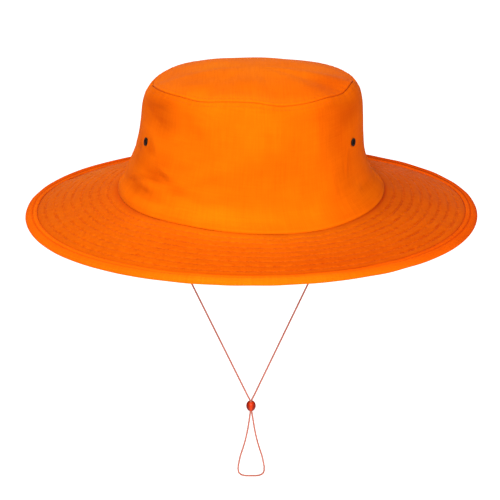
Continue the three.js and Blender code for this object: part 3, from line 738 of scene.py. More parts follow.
def woven_cotton(n, source):
    """Plain-woven cotton read in metres of cloth. Height is the product of two sines, one for
    each thread direction. Tone adds long thick-and-thin threads both ways, a fine speckle and
    slow cloudy patches, all as values round one half."""
    vector = source["Vector"]
    parts = n.parts(vector)
    turns = n.math("MULTIPLY", source["Threads per metre"], float(np.pi))
    warp = n.math("SINE", n.math("MULTIPLY", parts[0], turns))
    weft = n.math("SINE", n.math("MULTIPLY", parts[1], turns))
    weave = n.math("MULTIPLY", warp, weft)
    upright = n.cloth_noise(vector, 900, 42, 3.0, 0.6)
    level = n.cloth_noise(vector, 36, 800, 3.0, 0.6)
    cloud = n.cloth_noise(vector, 38, 30, 3.0, 0.55)
    speckle = n.cloth_noise(vector, 1500, 1500, 1.0)
    slub = n.math("ADD", upright, n.math("MULTIPLY", level, 0.7))
    tone = n.math("MULTIPLY_ADD", slub, source["Slub"], 0.5)
    tone = n.math("MULTIPLY_ADD", cloud, source["Cloud"], tone)
    tone = n.math("MULTIPLY_ADD", speckle, 0.2, tone)
    tone = n.math("MULTIPLY_ADD", weave, 0.03, tone)
    height = n.math("MULTIPLY_ADD", weave, 0.3, n.math("MULTIPLY_ADD", slub, 0.9, 0.5))
    return tone, height


def sewn_rows(n, source):
    """Rows of stitching read in metres along and across them. The rows lie a step apart from
    the first. Close to the nearest row the cloth dips in a narrow bell, and in a wider bell round
    it uneven needle puckers run across the row. Tone and Height are offsets round 0; Tone paints
    shade into each dip and paints light and shade over the puckers."""
    vector, step = source["Vector"], source["Step"]
    from_first = n.math("SUBTRACT", n.parts(vector)[1], source["First"])
    row = n.math("ROUND", n.math("DIVIDE", from_first, step))
    row = n.math("MINIMUM", n.math("MAXIMUM", row, 0.0), source["Last row"])
    apart = n.math("SUBTRACT", from_first, n.math("MULTIPLY", row, step))
    pucker = n.math("ADD", n.cloth_noise(vector, 230, 330, 2.0, 0.55), 0.02)
    broken = n.math("ADD", n.cloth_noise(vector, 160, 160), 0.25)
    pull = n.math("MULTIPLY", n.bell(apart, 2.1 * MM), pucker)
    dip = n.math("MULTIPLY", n.bell(apart, 0.8 * MM), n.math("MAXIMUM", broken, 0.0))
    # painted shade in the row's dip and painted light and shade over the puckers
    tone = n.math("MULTIPLY_ADD", pull, 2.0, n.math("MULTIPLY", dip, -0.4))
    height = n.math("MULTIPLY_ADD", pull, 3.0, n.math("MULTIPLY", dip, -0.8))
    return tone, height


def dye(base, *factors):
    """A colour with each part multiplied by its own factor, and no more than 1."""
    return tuple(min(1, part * factor) for part, factor in zip(base, factors))


class Finish(Nodes):
    """A new material with its shader, the places that it reads and the steps that finishes
    share."""

    def __init__(self, name):
        self.material = bpy.data.materials.new(name)
        self.material.use_nodes = True
        super().__init__(self.material.node_tree)
        self.place = self.add("ShaderNodeTexCoord").outputs

    def mixed(self, factor, dark, light):
        """A colour from dark to light as the factor goes from 0 to 1."""
        ends = {"Factor": factor, "A": (*dark, 1), "B": (*light, 1)}
        return self.add("ShaderNodeMix", ends, data_type="RGBA").outputs["Result"]

    def spread(self, value, low, high):
        """A number from low to high as the value goes from 0 to 1."""
        node = self.add("ShaderNodeMapRange", {"Value": value, "To Min": low, "To Max": high})
        return node.outputs["Result"]

    def raised(self, height, strength, distance):
        """The direction out of a fine relief."""
        node = self.add("ShaderNodeBump", {
            "Strength": strength, "Distance": distance, "Height": height})
        return node.outputs["Normal"]

    def shaded(self, inputs):
        """The material, once its shader has its inputs."""
        self.fill(self.tree.nodes["Principled BSDF"], inputs)
        return self.material


def cloth_material(
        name, base, slub=0.6, cloud=0.5, sheen=0.015, brown=0.4, planar=False, rows=None):
    """Cotton cloth: the woven group shades it between a darker and a lighter dye, and raises
    its threads. planar cloth is cut flat, so its threads run straight across the hat. rows gives
    the first stitch row, the step and the number of the last row. Where the cloth has a Shade
    attribute, which holds painted light and shade, green and blue go with 1 + shade. Red goes with
    1 + brown * shade, which is yellower where the cloth is painted lighter and redder where it is
    painted deeper in shade, and falls faster where the painted shade is deepest, which is brown."""
    n = Finish(name)
    weave = n.add("ShaderNodeGroup", {
        "Vector": n.place["Object" if planar else "UV"], "Threads per metre": THREADS_PER_METRE,
        "Slub": slub, "Cloud": cloud}, node_tree=cloth_group(
            "Woven cotton", ("Threads per metre", "Slub", "Cloud"), woven_cotton)).outputs
    tone, height = weave["Tone"], weave["Height"]
    if rows:
        labels = ("First", "Step", "Last row")
        sewn = n.add("ShaderNodeGroup", {"Vector": n.place["UV"], **dict(zip(labels, rows))},
                     node_tree=cloth_group("Sewn rows", labels, sewn_rows)).outputs
        tone = n.math("ADD", tone, sewn["Tone"])
        height = n.math("ADD", height, sewn["Height"])
    dyed = n.mixed(tone, dye(base, 0.84, 0.7, 0.7), dye(base, 1.1, 1.3, 1.6))
    # Shade: painted light and shade, multiplied into the base colour
    shade = n.add("ShaderNodeAttribute", attribute_name="Shade").outputs["Fac"]
    red = n.math("MINIMUM", n.math("MULTIPLY_ADD", shade, brown, 1.0),
                 n.math("MULTIPLY_ADD", shade, 1.4, 1.45))
    red = n.math("MAXIMUM", n.math("MINIMUM", red, 1.05), 0.1)
    others = n.math("ADD", shade, 1.0)
    strength = n.add("ShaderNodeCombineXYZ", {0: red, 1: others, 2: others}).outputs[0]
    return n.shaded({
        "Base Color": n.scaled(dyed, strength), "Roughness": n.spread(tone, 0.95, 0.8),
        "Normal": n.raised(height, 0.25, 0.3 * MM), "Specular IOR Level": 0.005,
        "Sheen Weight": sheen, "Sheen Roughness": 0.3, "Sheen Tint": (1.0, 0.72, 0.5, 1)})


def thread_material(name, base, turns=1500.0, patches_per_metre=330.0):
    """Twisted thread: slanted light and dark plies along its own UV, with patches of its own
    light and deep dye and a soft gloss."""
    n = Finish(name)
    parts = n.parts(n.place["UV"])
    along = n.math("MULTIPLY", parts[0], turns)
    ply = n.math("SINE", n.math("ADD", along, n.math("MULTIPLY", parts[1], turns)))
    patch = n.noise(n.place["Object"], patches_per_metre)
    tone = n.math("MULTIPLY_ADD", ply, 0.25, n.math("MULTIPLY_ADD", patch, 1.6, -0.3))
    return n.shaded({
        "Base Color": n.mixed(tone, dye(base, 0.9, 0.9, 0.9), dye(base, 1.1, 1.3, 1.5)),
        "Normal": n.raised(ply, 0.4, 0.1 * MM), "Roughness": 0.6, "Specular IOR Level": 0.04})


def enamel_material(name, base):
    """Black enamel over metal, with fine scratches that let its roughness vary."""
    n = Finish(name)
    wear = n.noise(n.place["Object"], 700.0, 4.0, 0.65)
    return n.shaded({
        "Base Color": n.mixed(n.math("MULTIPLY", wear, 0.5), base, dye(base, 4, 4, 4)),
        "Roughness": n.spread(wear, 0.45, 0.7), "Specular IOR Level": 0.06})


def bead_material(name, base, centre):
    """Glossy dark plastic with faint swirls and mild scratches. A painted highlight, a brighter
    band that is a bell over the distance from the bead's middle and narrows downwards, runs down
    front and back."""
    n = Finish(name)
    place = n.place["Object"]
    parts = n.parts(place)
    half = n.math("MULTIPLY_ADD", n.math("SUBTRACT", parts[2], centre[2]), 0.2, 1.3 * MM)
    # painted highlight down the bead's middle
    band = n.bell(n.math("SUBTRACT", parts[0], centre[0]), half)
    band = n.math("MULTIPLY", band, n.math("ADD", n.noise(place, 420.0, 3.0), 0.5))
    return n.shaded({
        "Base Color": n.mixed(band, base, dye(base, 3.6, 13, 3)),
        "Roughness": n.spread(n.noise(place, 1800.0), 0.22, 0.42), "Specular IOR Level": 0.1})


def floor_material(name, base):
    """Matt pale studio floor with hardly visible mottling, which glows a little so that it
    stays as white as the backdrop."""
    n = Finish(name)
    patch = n.noise(n.place["Object"], 1.5)
    return n.shaded({
        "Base Color": n.mixed(patch, dye(base, 0.98, 0.98, 0.98), base), "Roughness": 0.9,
        "Emission Color": (1, 1, 1, 1), "Emission Strength": 1.1})


def denser_ends(count):
    """Places from 0 to 1 that crowd towards both ends: a straight run mixed with a half wave."""
    run, wave_share = np.linspace(0, 1, count), 0.55
    return (1 - wave_share) * run + wave_share * (1 - np.cos(np.pi * run)) / 2


def around_uv(points, across):
    """Cloth lengths for a ring of closed sections: distance round the hat, and across."""
    width = points.shape[1]
    middle = points[:, width // 4]
    gone = travelled(np.concatenate([middle, middle[:1]]), 0)
    rows = np.concatenate([across, across[:1]])
    v = np.concatenate([rows, rows[:, :1]], axis=1)
    return np.stack([np.repeat(gone[:, None], width + 1, axis=1), v], -1)


def crown_panel(name, hat, start, end, material):
    """Half of the crown wall from one side seam to the other: the crown's surface for its outer
    face, the same surface a cloth's thickness inside for its inner face, both rolled in at the
    side seams, and a hole for each eyelet pushed open round its middle."""
    size = hat.size
    columns, rows = 250, 100
    mean_radius = 80 * MM
    half_gap = size.gap / 2 / size.head_half_width / DEGREE
    azimuth = np.linspace(start + half_gap, end - half_gap, columns)[:, None]
    bottom = size.gap / 3 / size.crown_height
    top = 1 - size.gap / 2 / size.tip_half_width
    climb = bottom + (top - bottom) * denser_ends(rows)[None, :]
    outer = hat.crown_surface(azimuth, climb)
    along = travelled(outer, 0)
    side = np.minimum(along, along[-1:] - along)
    roll = -0.6 * bump(side, 0, 0.8 * MM) + 0.15 * bump(side, 1.6 * MM, 1.2 * MM)
    roll = (roll - 0.1 * bump(side, SIDE_STITCH, 0.5 * MM)) * MM
    roll = hat.crown_out(azimuth, climb) * roll[..., None]
    outer = outer + roll
    inner = hat.crown_surface(azimuth, climb, size.crown_cloth) + roll * 0.3
    holes = []
    for _, at, height in EYELETS:
        turned = (at + 360 - start) % 360
        if turned <= end - start:
            i = int(np.argmin(np.abs(azimuth[:, 0] - start - turned)))
            j = int(np.argmin(np.abs(climb[0] - height)))
            middle, axis = hat.crown_point(at, height), hat.crown_out(at, height)
            outer = open_hole(outer, middle, axis)
            inner = open_hole(inner, middle, axis)
            holes.append((i, j, 2 * rows - 1 - j))
    points = np.concatenate([outer, inner[:, ::-1]], axis=1)
    height_run = travelled(outer, 1)
    u = np.repeat(azimuth * DEGREE * mean_radius, 2 * rows + 1, axis=1)
    v = np.concatenate([height_run, height_run[:, ::-1], height_run[:, :1]], axis=1)
    shade = hat.crown_shade(azimuth, climb)
    shade = np.concatenate([shade, 0 * shade], axis=1)
    mesh = build_mesh(name, points, np.stack([u, v], -1), False, True, holes, shade)
    return add_piece(mesh, material, (name,))


def open_hole(points, middle, axis):
    """Pushes points out from an axis so that a hole opens round it: a point at a distance d
    inside the reach moves to bore + d * (1 - bore / reach)."""
    bore, reach = 1.9 * MM, 6 * MM
    offset = points - middle
    offset = offset - (offset @ axis)[..., None] * axis
    distance = np.linalg.norm(offset, axis=-1)
    pushed = bore + distance * (1 - bore / reach)
    near = (distance < reach) & (np.abs((points - middle) @ axis) < reach)
    factor = np.where(near, pushed / np.maximum(distance, 1e-9) - 1, 0)
    return points + offset * factor[..., None]


def crown_top(hat, material):
    """The top panel: rings of the crown's surface from the seam to the middle, over the same
    rings a cloth's thickness lower. Its seam turning hangs down inside the wall from near the
    edge, so that the seam is closed."""
    size = hat.size
    columns, rows = 420, 52
    azimuth = columns_round(columns)
    start = 1 + size.gap / 2 / size.tip_half_width
    crowding, joint_climb = 1.35, 1.04
    climb = start + (2 - start) * np.linspace(0, 1, rows)[None, :] ** crowding
    outer = hat.crown_surface(azimuth, climb)
    slack = rumple(outer[..., 0], outer[..., 1], 8, (24 * MM, 60 * MM))
    slack = 0.3 * MM * slack * np.clip((climb - 1.06) * 5, 0, 1)
    outer[..., 2] += slack
    inner = hat.crown_surface(azimuth, climb, size.crown_cloth)
    inner[..., 2] += slack
    hem_climb = np.array([[0.965, 0.95, 0.94, 0.93, 0.93, 0.94, 0.95, 0.965, 1.045]])
    hem_depth = np.array([[0.12, 0.12, 0.12, 0.2, 0.7, 0.8, 0.8, 0.8, 0.8]]) * MM
    turning = hat.crown_surface(azimuth, hem_climb, size.crown_cloth + hem_depth)
    joint = int(np.searchsorted(climb[0], joint_climb))
    points = np.concatenate([
        outer[:, ::-1], inner[:, :joint], turning, inner[:, joint + 1:]], axis=1)
    uv = np.concatenate([points, points[:1]])
    uv = np.concatenate([uv, uv[:, :1]], axis=1)[..., :2]
    shade = hat.crown_shade(azimuth, climb)
    plain = np.zeros((columns, points.shape[1] - rows))
    shade = np.concatenate([shade[:, ::-1], plain], axis=1)
    mesh = build_mesh("crown_tip", points, uv, True, False, shade=shade)
    return add_piece(mesh, material, ("crown_tip",))


def wide_brim(hat, material):
    """The stitched brim: quilted upper and under surfaces that are pressed together to a thin
    margin where the binding wraps them. Its upper face carries painted light and shade patches,
    and painted shadow in the brim seam, most of all at the sides, along the binding's inner edge
    and along the stitch rows."""
    size = hat.size
    columns, upper_rows, under_rows = 540, 104, 52
    azimuth, slant = columns_round(columns), hat.brim_slant()
    recess = (size.brim_cloth - size.margin_cloth) / 2
    lip = -size.crown_cloth / size.brim_reach
    step = 1 - (size.binding_width + size.gap) / slant
    end = 1 - hat.binding_nose() / slant

    def face(rows, surface, pressed):
        out = np.linspace(lip, step, rows)[None, :]
        margin = np.array([step + 0.008, (step + end) / 2, end])[None, :]
        edge = hat.brim_point(azimuth, margin) - hat.brim_up(azimuth, margin) * pressed
        points = np.concatenate([surface(azimuth, out), edge], axis=1)
        return points, np.concatenate([out, margin], axis=1)

    upper, upper_out = face(upper_rows, hat.brim_surface, recess)
    under, under_out = face(under_rows, hat.under_surface, size.brim_cloth - recess)
    points = np.concatenate([upper, under[:, ::-1]], axis=1)
    out = np.concatenate([upper_out, under_out[:, ::-1], upper_out[:, :1]], axis=1)
    around = np.arange(columns + 1)[:, None] * (2 * np.pi / columns)
    around = around * (size.head_half_length + size.brim_reach / 2)
    uv = np.stack(np.broadcast_arrays(around, out * slant), -1)
    # painted light and shade of the upper face: patches, painted shadow in the seam and at the
    # binding's edge, painted shade along the rows
    shade = patches(BRIM_PAINTED_SHADING, azimuth, upper_out)
    distance = upper_out * slant
    left, right = bump(azimuth, 290, 32), bump(azimuth, 74, 26)
    shadow = (0.95 + 0.6 * left + 0.3 * right) * MM
    shade = shade - (0.13 + 0.14 * left + 0.34 * right) * bump(distance, 0.3 * MM, shadow)
    shade = shade - 0.25 * bump(distance, slant - size.binding_width, 0.6 * MM)
    shade = shade + hat.stroke_shade(azimuth, distance)
    shade = np.concatenate([shade, np.zeros((columns, under_out.shape[1]))], axis=1)
    mesh = build_mesh("brim", points, uv, True, True, shade=shade)
    return add_piece(mesh, material, ("brim",))


def binding_section(hat, rows):
    """Outline of the folded strip as distances in from the brim's edge and below its upper
    surface: two legs joined by a half circle outside, and the same with a smaller circle
    inside. The outside swells between the edge and the stitch row, and sinks at the row."""
    size = hat.size
    middle, nose = size.brim_cloth / 2, hat.binding_nose()
    bore = nose - size.binding_cloth
    turn = np.linspace(90, -90, 13)[1:-1] * DEGREE
    leg = np.linspace(size.binding_width, nose, rows)
    swell = MM * sum(high * bump(leg, at, span * MM) for high, at, span in (
        (0.28, 4.2 * MM, 2.2), (-0.38, size.binding_stitch, 0.75),
        (0.12, 9.1 * MM, 1.0), (-0.5, size.binding_width, 0.5)))
    outside = np.concatenate([
        np.stack([leg, middle - nose - swell], -1),
        np.stack([nose - nose * np.cos(turn), middle - nose * np.sin(turn)], -1),
        np.stack([leg, middle + nose + swell], -1)[::-1],
    ])
    inwards = np.array((size.binding_width, nose, *(nose - np.array((0.7, 1, 0.7)) * bore),
                        nose, size.binding_width))
    return outside, np.stack([inwards, middle + bore * np.array((1, 1, 0.7, 0, -0.7, -1, -1))], -1)


def edge_binding(hat, material):
    """The binding: its section carried round the brim's edge, with the puckers that the stitch
    row draws into it. Its rear is raised a little. It carries painted light and shade patches,
    and at the sides painted shade in the stitch row with a painted highlight beside it."""
    size = hat.size
    columns, rows = 620, 26
    azimuth = columns_round(columns)
    outside, inside = binding_section(hat, rows)
    section = np.concatenate([outside, inside])
    inset, depth = section[None, :, 0], section[None, :, 1]
    out = 1 - inset / hat.brim_slant()
    up = hat.brim_up(azimuth, np.minimum(out, 0.99))
    points = hat.brim_point(azimuth, out) - up * depth[..., None]
    pucker = ripples(azimuth, inset / MM, 17, (110, 210), 0.5)
    relief = 0.09 * pucker * bump(inset, size.binding_stitch, 2.6 * MM)
    relief = relief + 0.12 * ripples(azimuth, inset, 19, (14, 40), 0.0)
    sign = np.where(depth < size.brim_cloth / 2, 1, -1) * (np.arange(len(section)) < len(outside))
    rear = patches((REAR_LIFT,), azimuth, inset)
    relief = relief * sign + rear * (depth < size.brim_cloth / 2)
    points = points + up * (relief * MM)[..., None]
    across = np.repeat(travelled(section, 0)[None, :], columns, axis=0)
    # painted light and shade of the binding: patches, painted shade in the stitch row and a
    # painted highlight beside it
    shade = patches(BINDING_PAINTED_SHADING, azimuth, inset / size.binding_width)
    aside = np.sin(azimuth * DEGREE) ** 2
    shade = shade - (0.08 + 0.26 * aside) * bump(inset, size.binding_stitch, 0.6 * MM)
    shade = shade + 0.12 * aside * bump(inset, size.binding_stitch + 1.4 * MM, 0.7 * MM)
    uv = around_uv(points, across)
    mesh = build_mesh("brim_binding", points, uv, True, True, shade=shade)
    return add_piece(mesh, material, ("brim_binding",))


def band_wave(hat, azimuth, climb):
    """Soft waves of the sweatband's inner face: ripples that grow from the brim seam up."""
    share = climb * hat.size.crown_height / hat.size.sweatband_height
    return 0.3 * MM * ripples(azimuth, climb * 3, 23, (6, 20), 1.0) * share


def inner_band(hat, material):
    """The sweatband: the crown's inner surface brought further in by its ease, with a hem that
    swells along its upper edge and soft waves. Its foot goes straight down past the brim."""
    size = hat.size
    azimuth, rows = columns_round(420), 30
    climb = np.linspace(0, size.sweatband_height / size.crown_height, rows)[None, :]
    hem = climb * size.crown_height - size.sweatband_height
    swell = 0.35 * bump(hem, -2 * MM, 1.8 * MM) - 0.25 * bump(hem, -HEM_STITCH, 0.6 * MM)
    swell = swell * MM + band_wave(hat, azimuth, climb)
    depth = size.crown_cloth + size.gap + np.clip(climb / 0.04, 0, 1) * BAND_EASE
    foot = np.linspace(1, 0.2, 5)[None, :, None] * (0, 0, size.brim_cloth + BAND_LIP)

    def face(depth):
        points = hat.crown_point(azimuth, climb) - hat.crown_out(azimuth, climb) * depth[..., None]
        return np.concatenate([points[:, :1] - foot, points], axis=1)

    outer = face(depth)
    inner = face(depth + size.sweatband_cloth + np.maximum(swell, -0.6 * MM))
    points = np.concatenate([outer, inner[:, ::-1]], axis=1)
    run = travelled(outer, 1)
    across = np.concatenate([run, run[:, ::-1]], axis=1)
    mesh = build_mesh("sweatband", points, around_uv(points, across), True, True)
    return add_piece(mesh, material, ("sweatband",))


def turned_body(profile, sides):
    """Grid of a body turned about its own Z axis from a closed profile of radii and heights."""
    turn = np.arange(sides)[:, None] * (2 * np.pi / sides)
    radius, height = profile[None, :, 0], profile[None, :, 1]
    return np.stack([radius * np.cos(turn), radius * np.sin(turn), height + 0 * turn], -1)


def rounded_profile(corners, radius, steps=4):
    """A closed outline with each corner replaced by a short curve: points that run from one
    side of the corner to the other along a quadratic curve."""
    corners = np.asarray(corners, float)
    back, ahead = (np.roll(corners, way, axis=0) - corners for way in (1, -1))
    side = np.minimum(np.linalg.norm(back, axis=-1), np.linalg.norm(ahead, axis=-1))
    cut = np.minimum(radius, 0.45 * side)[:, None, None]
    start, end = unit(back)[:, None] * cut, unit(ahead)[:, None] * cut
    t = np.linspace(0, 1, steps)[None, :, None]
    return (corners[:, None] + (1 - t) ** 2 * start + t ** 2 * end).reshape(-1, 2)


def eyelet(node, hat, azimuth, height, material):
    """A rolled metal eyelet: a barrel through the cloth with a rounded rim on both faces."""
    size = hat.size
    metal, bore, bed = 0.3 * MM, 1.6 * MM, 0.05 * MM
    grip = size.crown_cloth / 2 + size.gap + bed
    face, rim = grip + metal, size.eyelet_radius
    profile = rounded_profile([
        (bore, -face), (rim, -face), (rim, -grip), (bore + metal, -grip),
        (bore + metal, grip), (rim, grip), (rim, face), (bore, face),
    ], 0.3 * MM, 5)
    out = hat.crown_out(azimuth, height)
    side = unit(np.cross((0.0, 0.0, 1.0), out))
    middle = hat.crown_point(azimuth, height) - out * size.crown_cloth / 2
    points = middle + turned_body(profile, 40) @ np.array((side, np.cross(out, side), out))
    mesh = build_mesh(node, points, None, True, True)
    return add_piece(mesh, material, (node,))


def stitch_grid(centres, along, up, size):
    """Grid corners of many stitches at once. Each is a short thread that rises from the cloth,
    runs along it and dives back in: a five-sided tube along the five places of a low arch."""
    half = 0.41 * size.stitch_pitch
    places = np.array([-1, -0.72, 0, 0.72, 1])
    lift = np.array([-0.6, -0.08, 0.12, -0.08, -0.6]) * size.thread
    girth = np.array([0.5, 0.95, 1, 0.95, 0.5]) * size.thread / 2
    side = unit(np.cross(up, along))
    middle = centres[:, None] + along[:, None] * (places * half)[:, None]
    middle = middle + up[:, None] * lift[:, None]
    sides = 5
    turn = np.arange(sides) * (2 * np.pi / sides)
    ring = side[:, None, None] * np.cos(turn)[:, None] + up[:, None, None] * np.sin(turn)[:, None]
    return middle[:, :, None] + ring * girth[:, None, None]


def stitches_mesh(name, lines, size):
    """One mesh of all the stitches along lines of (points, directions out of the cloth)."""
    grids = []
    for points, up in lines:
        run = travelled(points, 0)
        count = int(run[-1] / size.stitch_pitch)
        place = (np.arange(count) + 0.5) * run[-1] / count
        step = 0.3 * size.stitch_pitch
        along = along_line(place + step, run, points) - along_line(place - step, run, points)
        grids.append(stitch_grid(
            along_line(place, run, points), unit(along), unit(along_line(place, run, up)), size))
    grid = np.concatenate(grids)
    count, sections, sides = grid.shape[:3]
    index = np.arange(count * sections * sides).reshape(count, sections, sides)
    ahead = np.roll(index, -1, axis=2)
    walls = np.stack([index[:, :-1], ahead[:, :-1], ahead[:, 1:], index[:, 1:]], -1).reshape(-1, 4)
    caps = np.concatenate([index[:, 0, ::-1], index[:, -1]])
    corner = np.concatenate([walls.ravel(), caps.ravel()])
    counts = np.repeat((4, sides), (len(walls), len(caps)))
    along = np.tile(np.repeat(np.linspace(0, 1, sections), sides), count) * size.stitch_pitch
    across = np.tile(np.linspace(0, 1, sides), count * sections) * size.thread
    uv = np.stack([along[corner], across[corner]], -1)
    return finished_mesh(name, grid.reshape(-1, 3), corner, counts, uv)


def brim_stitch_lines(hat, surface, sign):
    """The rows of stitches round one face of the brim."""
    lines = []
    for row in hat.brim_rows():
        out = np.full_like(ALL_ROUND, row / hat.brim_slant())
        lines.append((surface(ALL_ROUND, out), sign * hat.brim_up(ALL_ROUND, out)))
    return lines


def binding_stitch_lines(hat):
    """The row of stitches through the binding, on its upper and its under face."""
    out = np.full_like(ALL_ROUND, 1 - hat.size.binding_stitch / hat.brim_slant())
    sunk = hat.binding_nose() - 0.3 * MM
    up = hat.brim_up(ALL_ROUND, out)
    middle = hat.brim_point(ALL_ROUND, out) - up * hat.size.brim_cloth / 2
    return [(middle + up * sunk, up), (middle - up * sunk, -up)]


def crown_stitch_lines(hat):
    """Topstitching either side of the top panel's seam and behind each side seam."""
    stitch = hat.size.top_stitch
    places = [(ALL_ROUND, np.full_like(ALL_ROUND, climb)) for climb in (
        1 - stitch / WALL_CLIMB, 1 + stitch / hat.size.tip_half_width)]
    climb = np.linspace(0.03, 0.93, 181)
    side_radius = 85 * MM
    off = SIDE_STITCH / side_radius / DEGREE
    places += [(np.full_like(climb, azimuth), climb) for azimuth in (90 + off, 270 - off)]
    return [(hat.crown_surface(*place), hat.crown_out(*place)) for place in places]


def band_stitch_lines(hat):
    """The hem row near the sweatband's upper edge, on its inner face."""
    size = hat.size
    climb = np.full_like(ALL_ROUND, (size.sweatband_height - HEM_STITCH) / size.crown_height)
    depth = size.crown_cloth + size.gap + BAND_EASE + size.sweatband_cloth - 0.2 * MM
    depth = depth + band_wave(hat, ALL_ROUND, climb)
    out = hat.crown_out(ALL_ROUND, climb)
    return [(hat.crown_point(ALL_ROUND, climb) - out * depth[:, None], -out)]


def cord_route(hat):
    """Points of the chin cord: from the left end at the sweatband down to the bead, through it,
    round the loop, back through it and up to the right end."""
    size = hat.size

    def half_route(end, side):
        x, y = np.array(end) * MM
        azimuth = np.degrees(np.arctan2(x / size.head_half_width, -y / size.head_half_length))
        high = float(hat.seam_height(azimuth)) - size.brim_cloth - BAND_LIP - size.gap
        apart = side * (size.cord_diameter + size.gap) / 2
        turn, half = STRAND_TURN * DEGREE, size.bead_length / 2
        in_bead = np.array(BEAD_CENTRE) * MM + np.array([
            (apart * np.cos(turn), apart * np.sin(turn), height) for height in (half, 0, -half)])
        bend = np.array((x - side * 0.9 * MM, y, high - 4 * MM))
        shares = np.array((0, 0.12, 0.35, 0.62, 0.86, 0.97))[:, None]
        return np.concatenate([[(x, y, high)], bend + (in_bead[0] - bend) * shares, in_bead])

    return np.concatenate([
        half_route(CORD_LEFT_END, -1), np.array(CORD_LOOP) * MM,
        half_route(CORD_RIGHT_END, 1)[::-1]])


def smooth_route(points, step):
    """Points at even steps along a smooth curve through a route's points."""
    gaps = np.sqrt(np.linalg.norm(np.diff(points, axis=0), axis=-1))
    reach = np.concatenate([[0], np.cumsum(gaps)])
    fine = np.linspace(0, reach[-1], 6000)
    curve = np.stack([through(reach, column, fine) for column in points.T], -1)
    run = travelled(curve, 0)
    place = np.linspace(0, run[-1], int(run[-1] / step) + 1)
    return along_line(place, run, curve), run[-1]


def braided_cord(hat, material):
    """The chin cord: a round section carried along its route. Its radius rises where one of two
    families of slanted strands lies on top, which gives the braid."""
    size = hat.size
    route, real_length = smooth_route(cord_route(hat), 0.4 * MM)
    run = np.linspace(0, real_length, len(route))[:, None]
    ahead = unit(np.gradient(route, axis=0))
    side = unit(np.cross(ahead, (0.0, 1.0, 0.0)))
    other = np.cross(side, ahead)
    sides, braid_step = 14, 3 * MM
    turn = np.arange(sides)[None, :] * (2 * np.pi / sides)
    lay = 2 * np.pi / braid_step
    strands = np.maximum(np.cos(3 * turn + lay * run), np.cos(3 * turn - lay * run))
    radius = size.cord_diameter / 2 * (1 + 0.09 * strands)
    points = route[:, None] + radius[..., None] * (
        side[:, None] * np.cos(turn)[..., None] + other[:, None] * np.sin(turn)[..., None])
    start, end = route[:1, None], route[-1:, None]
    points = np.concatenate([
        start + 0.02 * (points[:1] - start), points, end + 0.02 * (points[-1:] - end)])
    u = np.concatenate([[0], run[:, 0], [real_length, real_length]])[None, :]
    v = np.arange(sides + 1)[:, None] * (np.pi * size.cord_diameter / sides)
    uv = np.stack(np.broadcast_arrays(u, v), -1)
    mesh = build_mesh("chin_cord", points.transpose(1, 0, 2), uv, True, False)
    cord = add_piece(mesh, material, ("chin_cord",))
    return cord, route, real_length


def threaded_bead(hat, material):
    """The bead: a near ball turned from a rounded profile, whose hole takes both strands. Its
    outside goes along a quarter ellipse from the middle to a flared mouth at each end. It is a
    little thicker and shorter than its sizes, which are those of the plain solid."""
    size = hat.size
    mouth = 0.5 * MM
    hole = size.cord_diameter + 1.5 * size.gap
    rim = hole + 0.7 * mouth
    half = 0.93 * size.bead_length / 2
    radius = 1.1 * size.bead_radius
    share = np.linspace(-1, 1, 17)
    fall = 1 - (rim / radius) ** 2
    wall = np.stack([radius * np.sqrt(1 - fall * share ** 2), half * share], -1)
    profile = rounded_profile([(hole, half - mouth), (hole, -half + mouth), *wall], 0.3 * MM)
    points = turned_body(profile, 48) + np.array(BEAD_CENTRE) * MM
    mesh = build_mesh("cord_bead", points, None, True, True)
    return add_piece(mesh, material, ("cord_bead",))


def add_area_light(name, place, width, power, tint):
    """A square soft light at a place, turned towards the lights' target."""
    light = bpy.data.lights.new(name, "AREA")
    light.size = width
    light.energy = power
    light.color = tint
    lamp = bpy.data.objects.new(name, light)
    bpy.context.scene.collection.objects.link(lamp)
    lamp.location = place
    aim = Vector(LIGHT_TARGET) - Vector(place)
    lamp.rotation_euler = aim.to_track_quat("-Z", "Y").to_euler()


class HAT_OT_stage(bpy.types.Operator):
    """Sets up the camera at the photo's angle, the soft lights and the pale floor"""
    bl_idname = "hat.stage"
    bl_label = "Stage"

    def execute(self, context):
        scene = context.scene
        camera_data = bpy.data.cameras.new("camera")
        camera_data.sensor_width = 36
        camera_data.lens = CAMERA_LENS
        camera_data.clip_end = 100
        camera = bpy.data.objects.new("camera", camera_data)
        scene.collection.objects.link(camera)
        camera.location = CAMERA_PLACE
        camera.rotation_euler = (CAMERA_TILT, 0, 0)
        scene.camera = camera
        corners = [(x * FLOOR_HALF, y * FLOOR_HALF, -FLOOR_DEPTH)
                   for x, y in ((-1, -1), (1, -1), (1, 1), (-1, 1))]
        mesh = bpy.data.meshes.new("floor")
        mesh.from_pydata(corners, [], [(0, 1, 2, 3)])
        mesh.materials.append(floor_material("floor", context.scene.hat_colours.floor))
        floor = bpy.data.objects.new("floor", mesh)
        scene.collection.objects.link(floor)
        for light in LIGHTS:
            add_area_light(*light)
        world = bpy.data.worlds.new("studio")
        world.use_nodes = True
        n = Nodes(world.node_tree)
        seen = n.add("ShaderNodeLightPath").outputs["Is Camera Ray"]
        strength = n.math("MULTIPLY_ADD", seen, BACKDROP, WORLD_LIGHT)
        n.fill(world.node_tree.nodes["Background"], {"Color": (1, 1, 1, 1), "Strength": strength})
        scene.world = world
        scene.view_settings.view_transform = "Standard"
        scene.view_settings.look = "None"
        return {"FINISHED"}


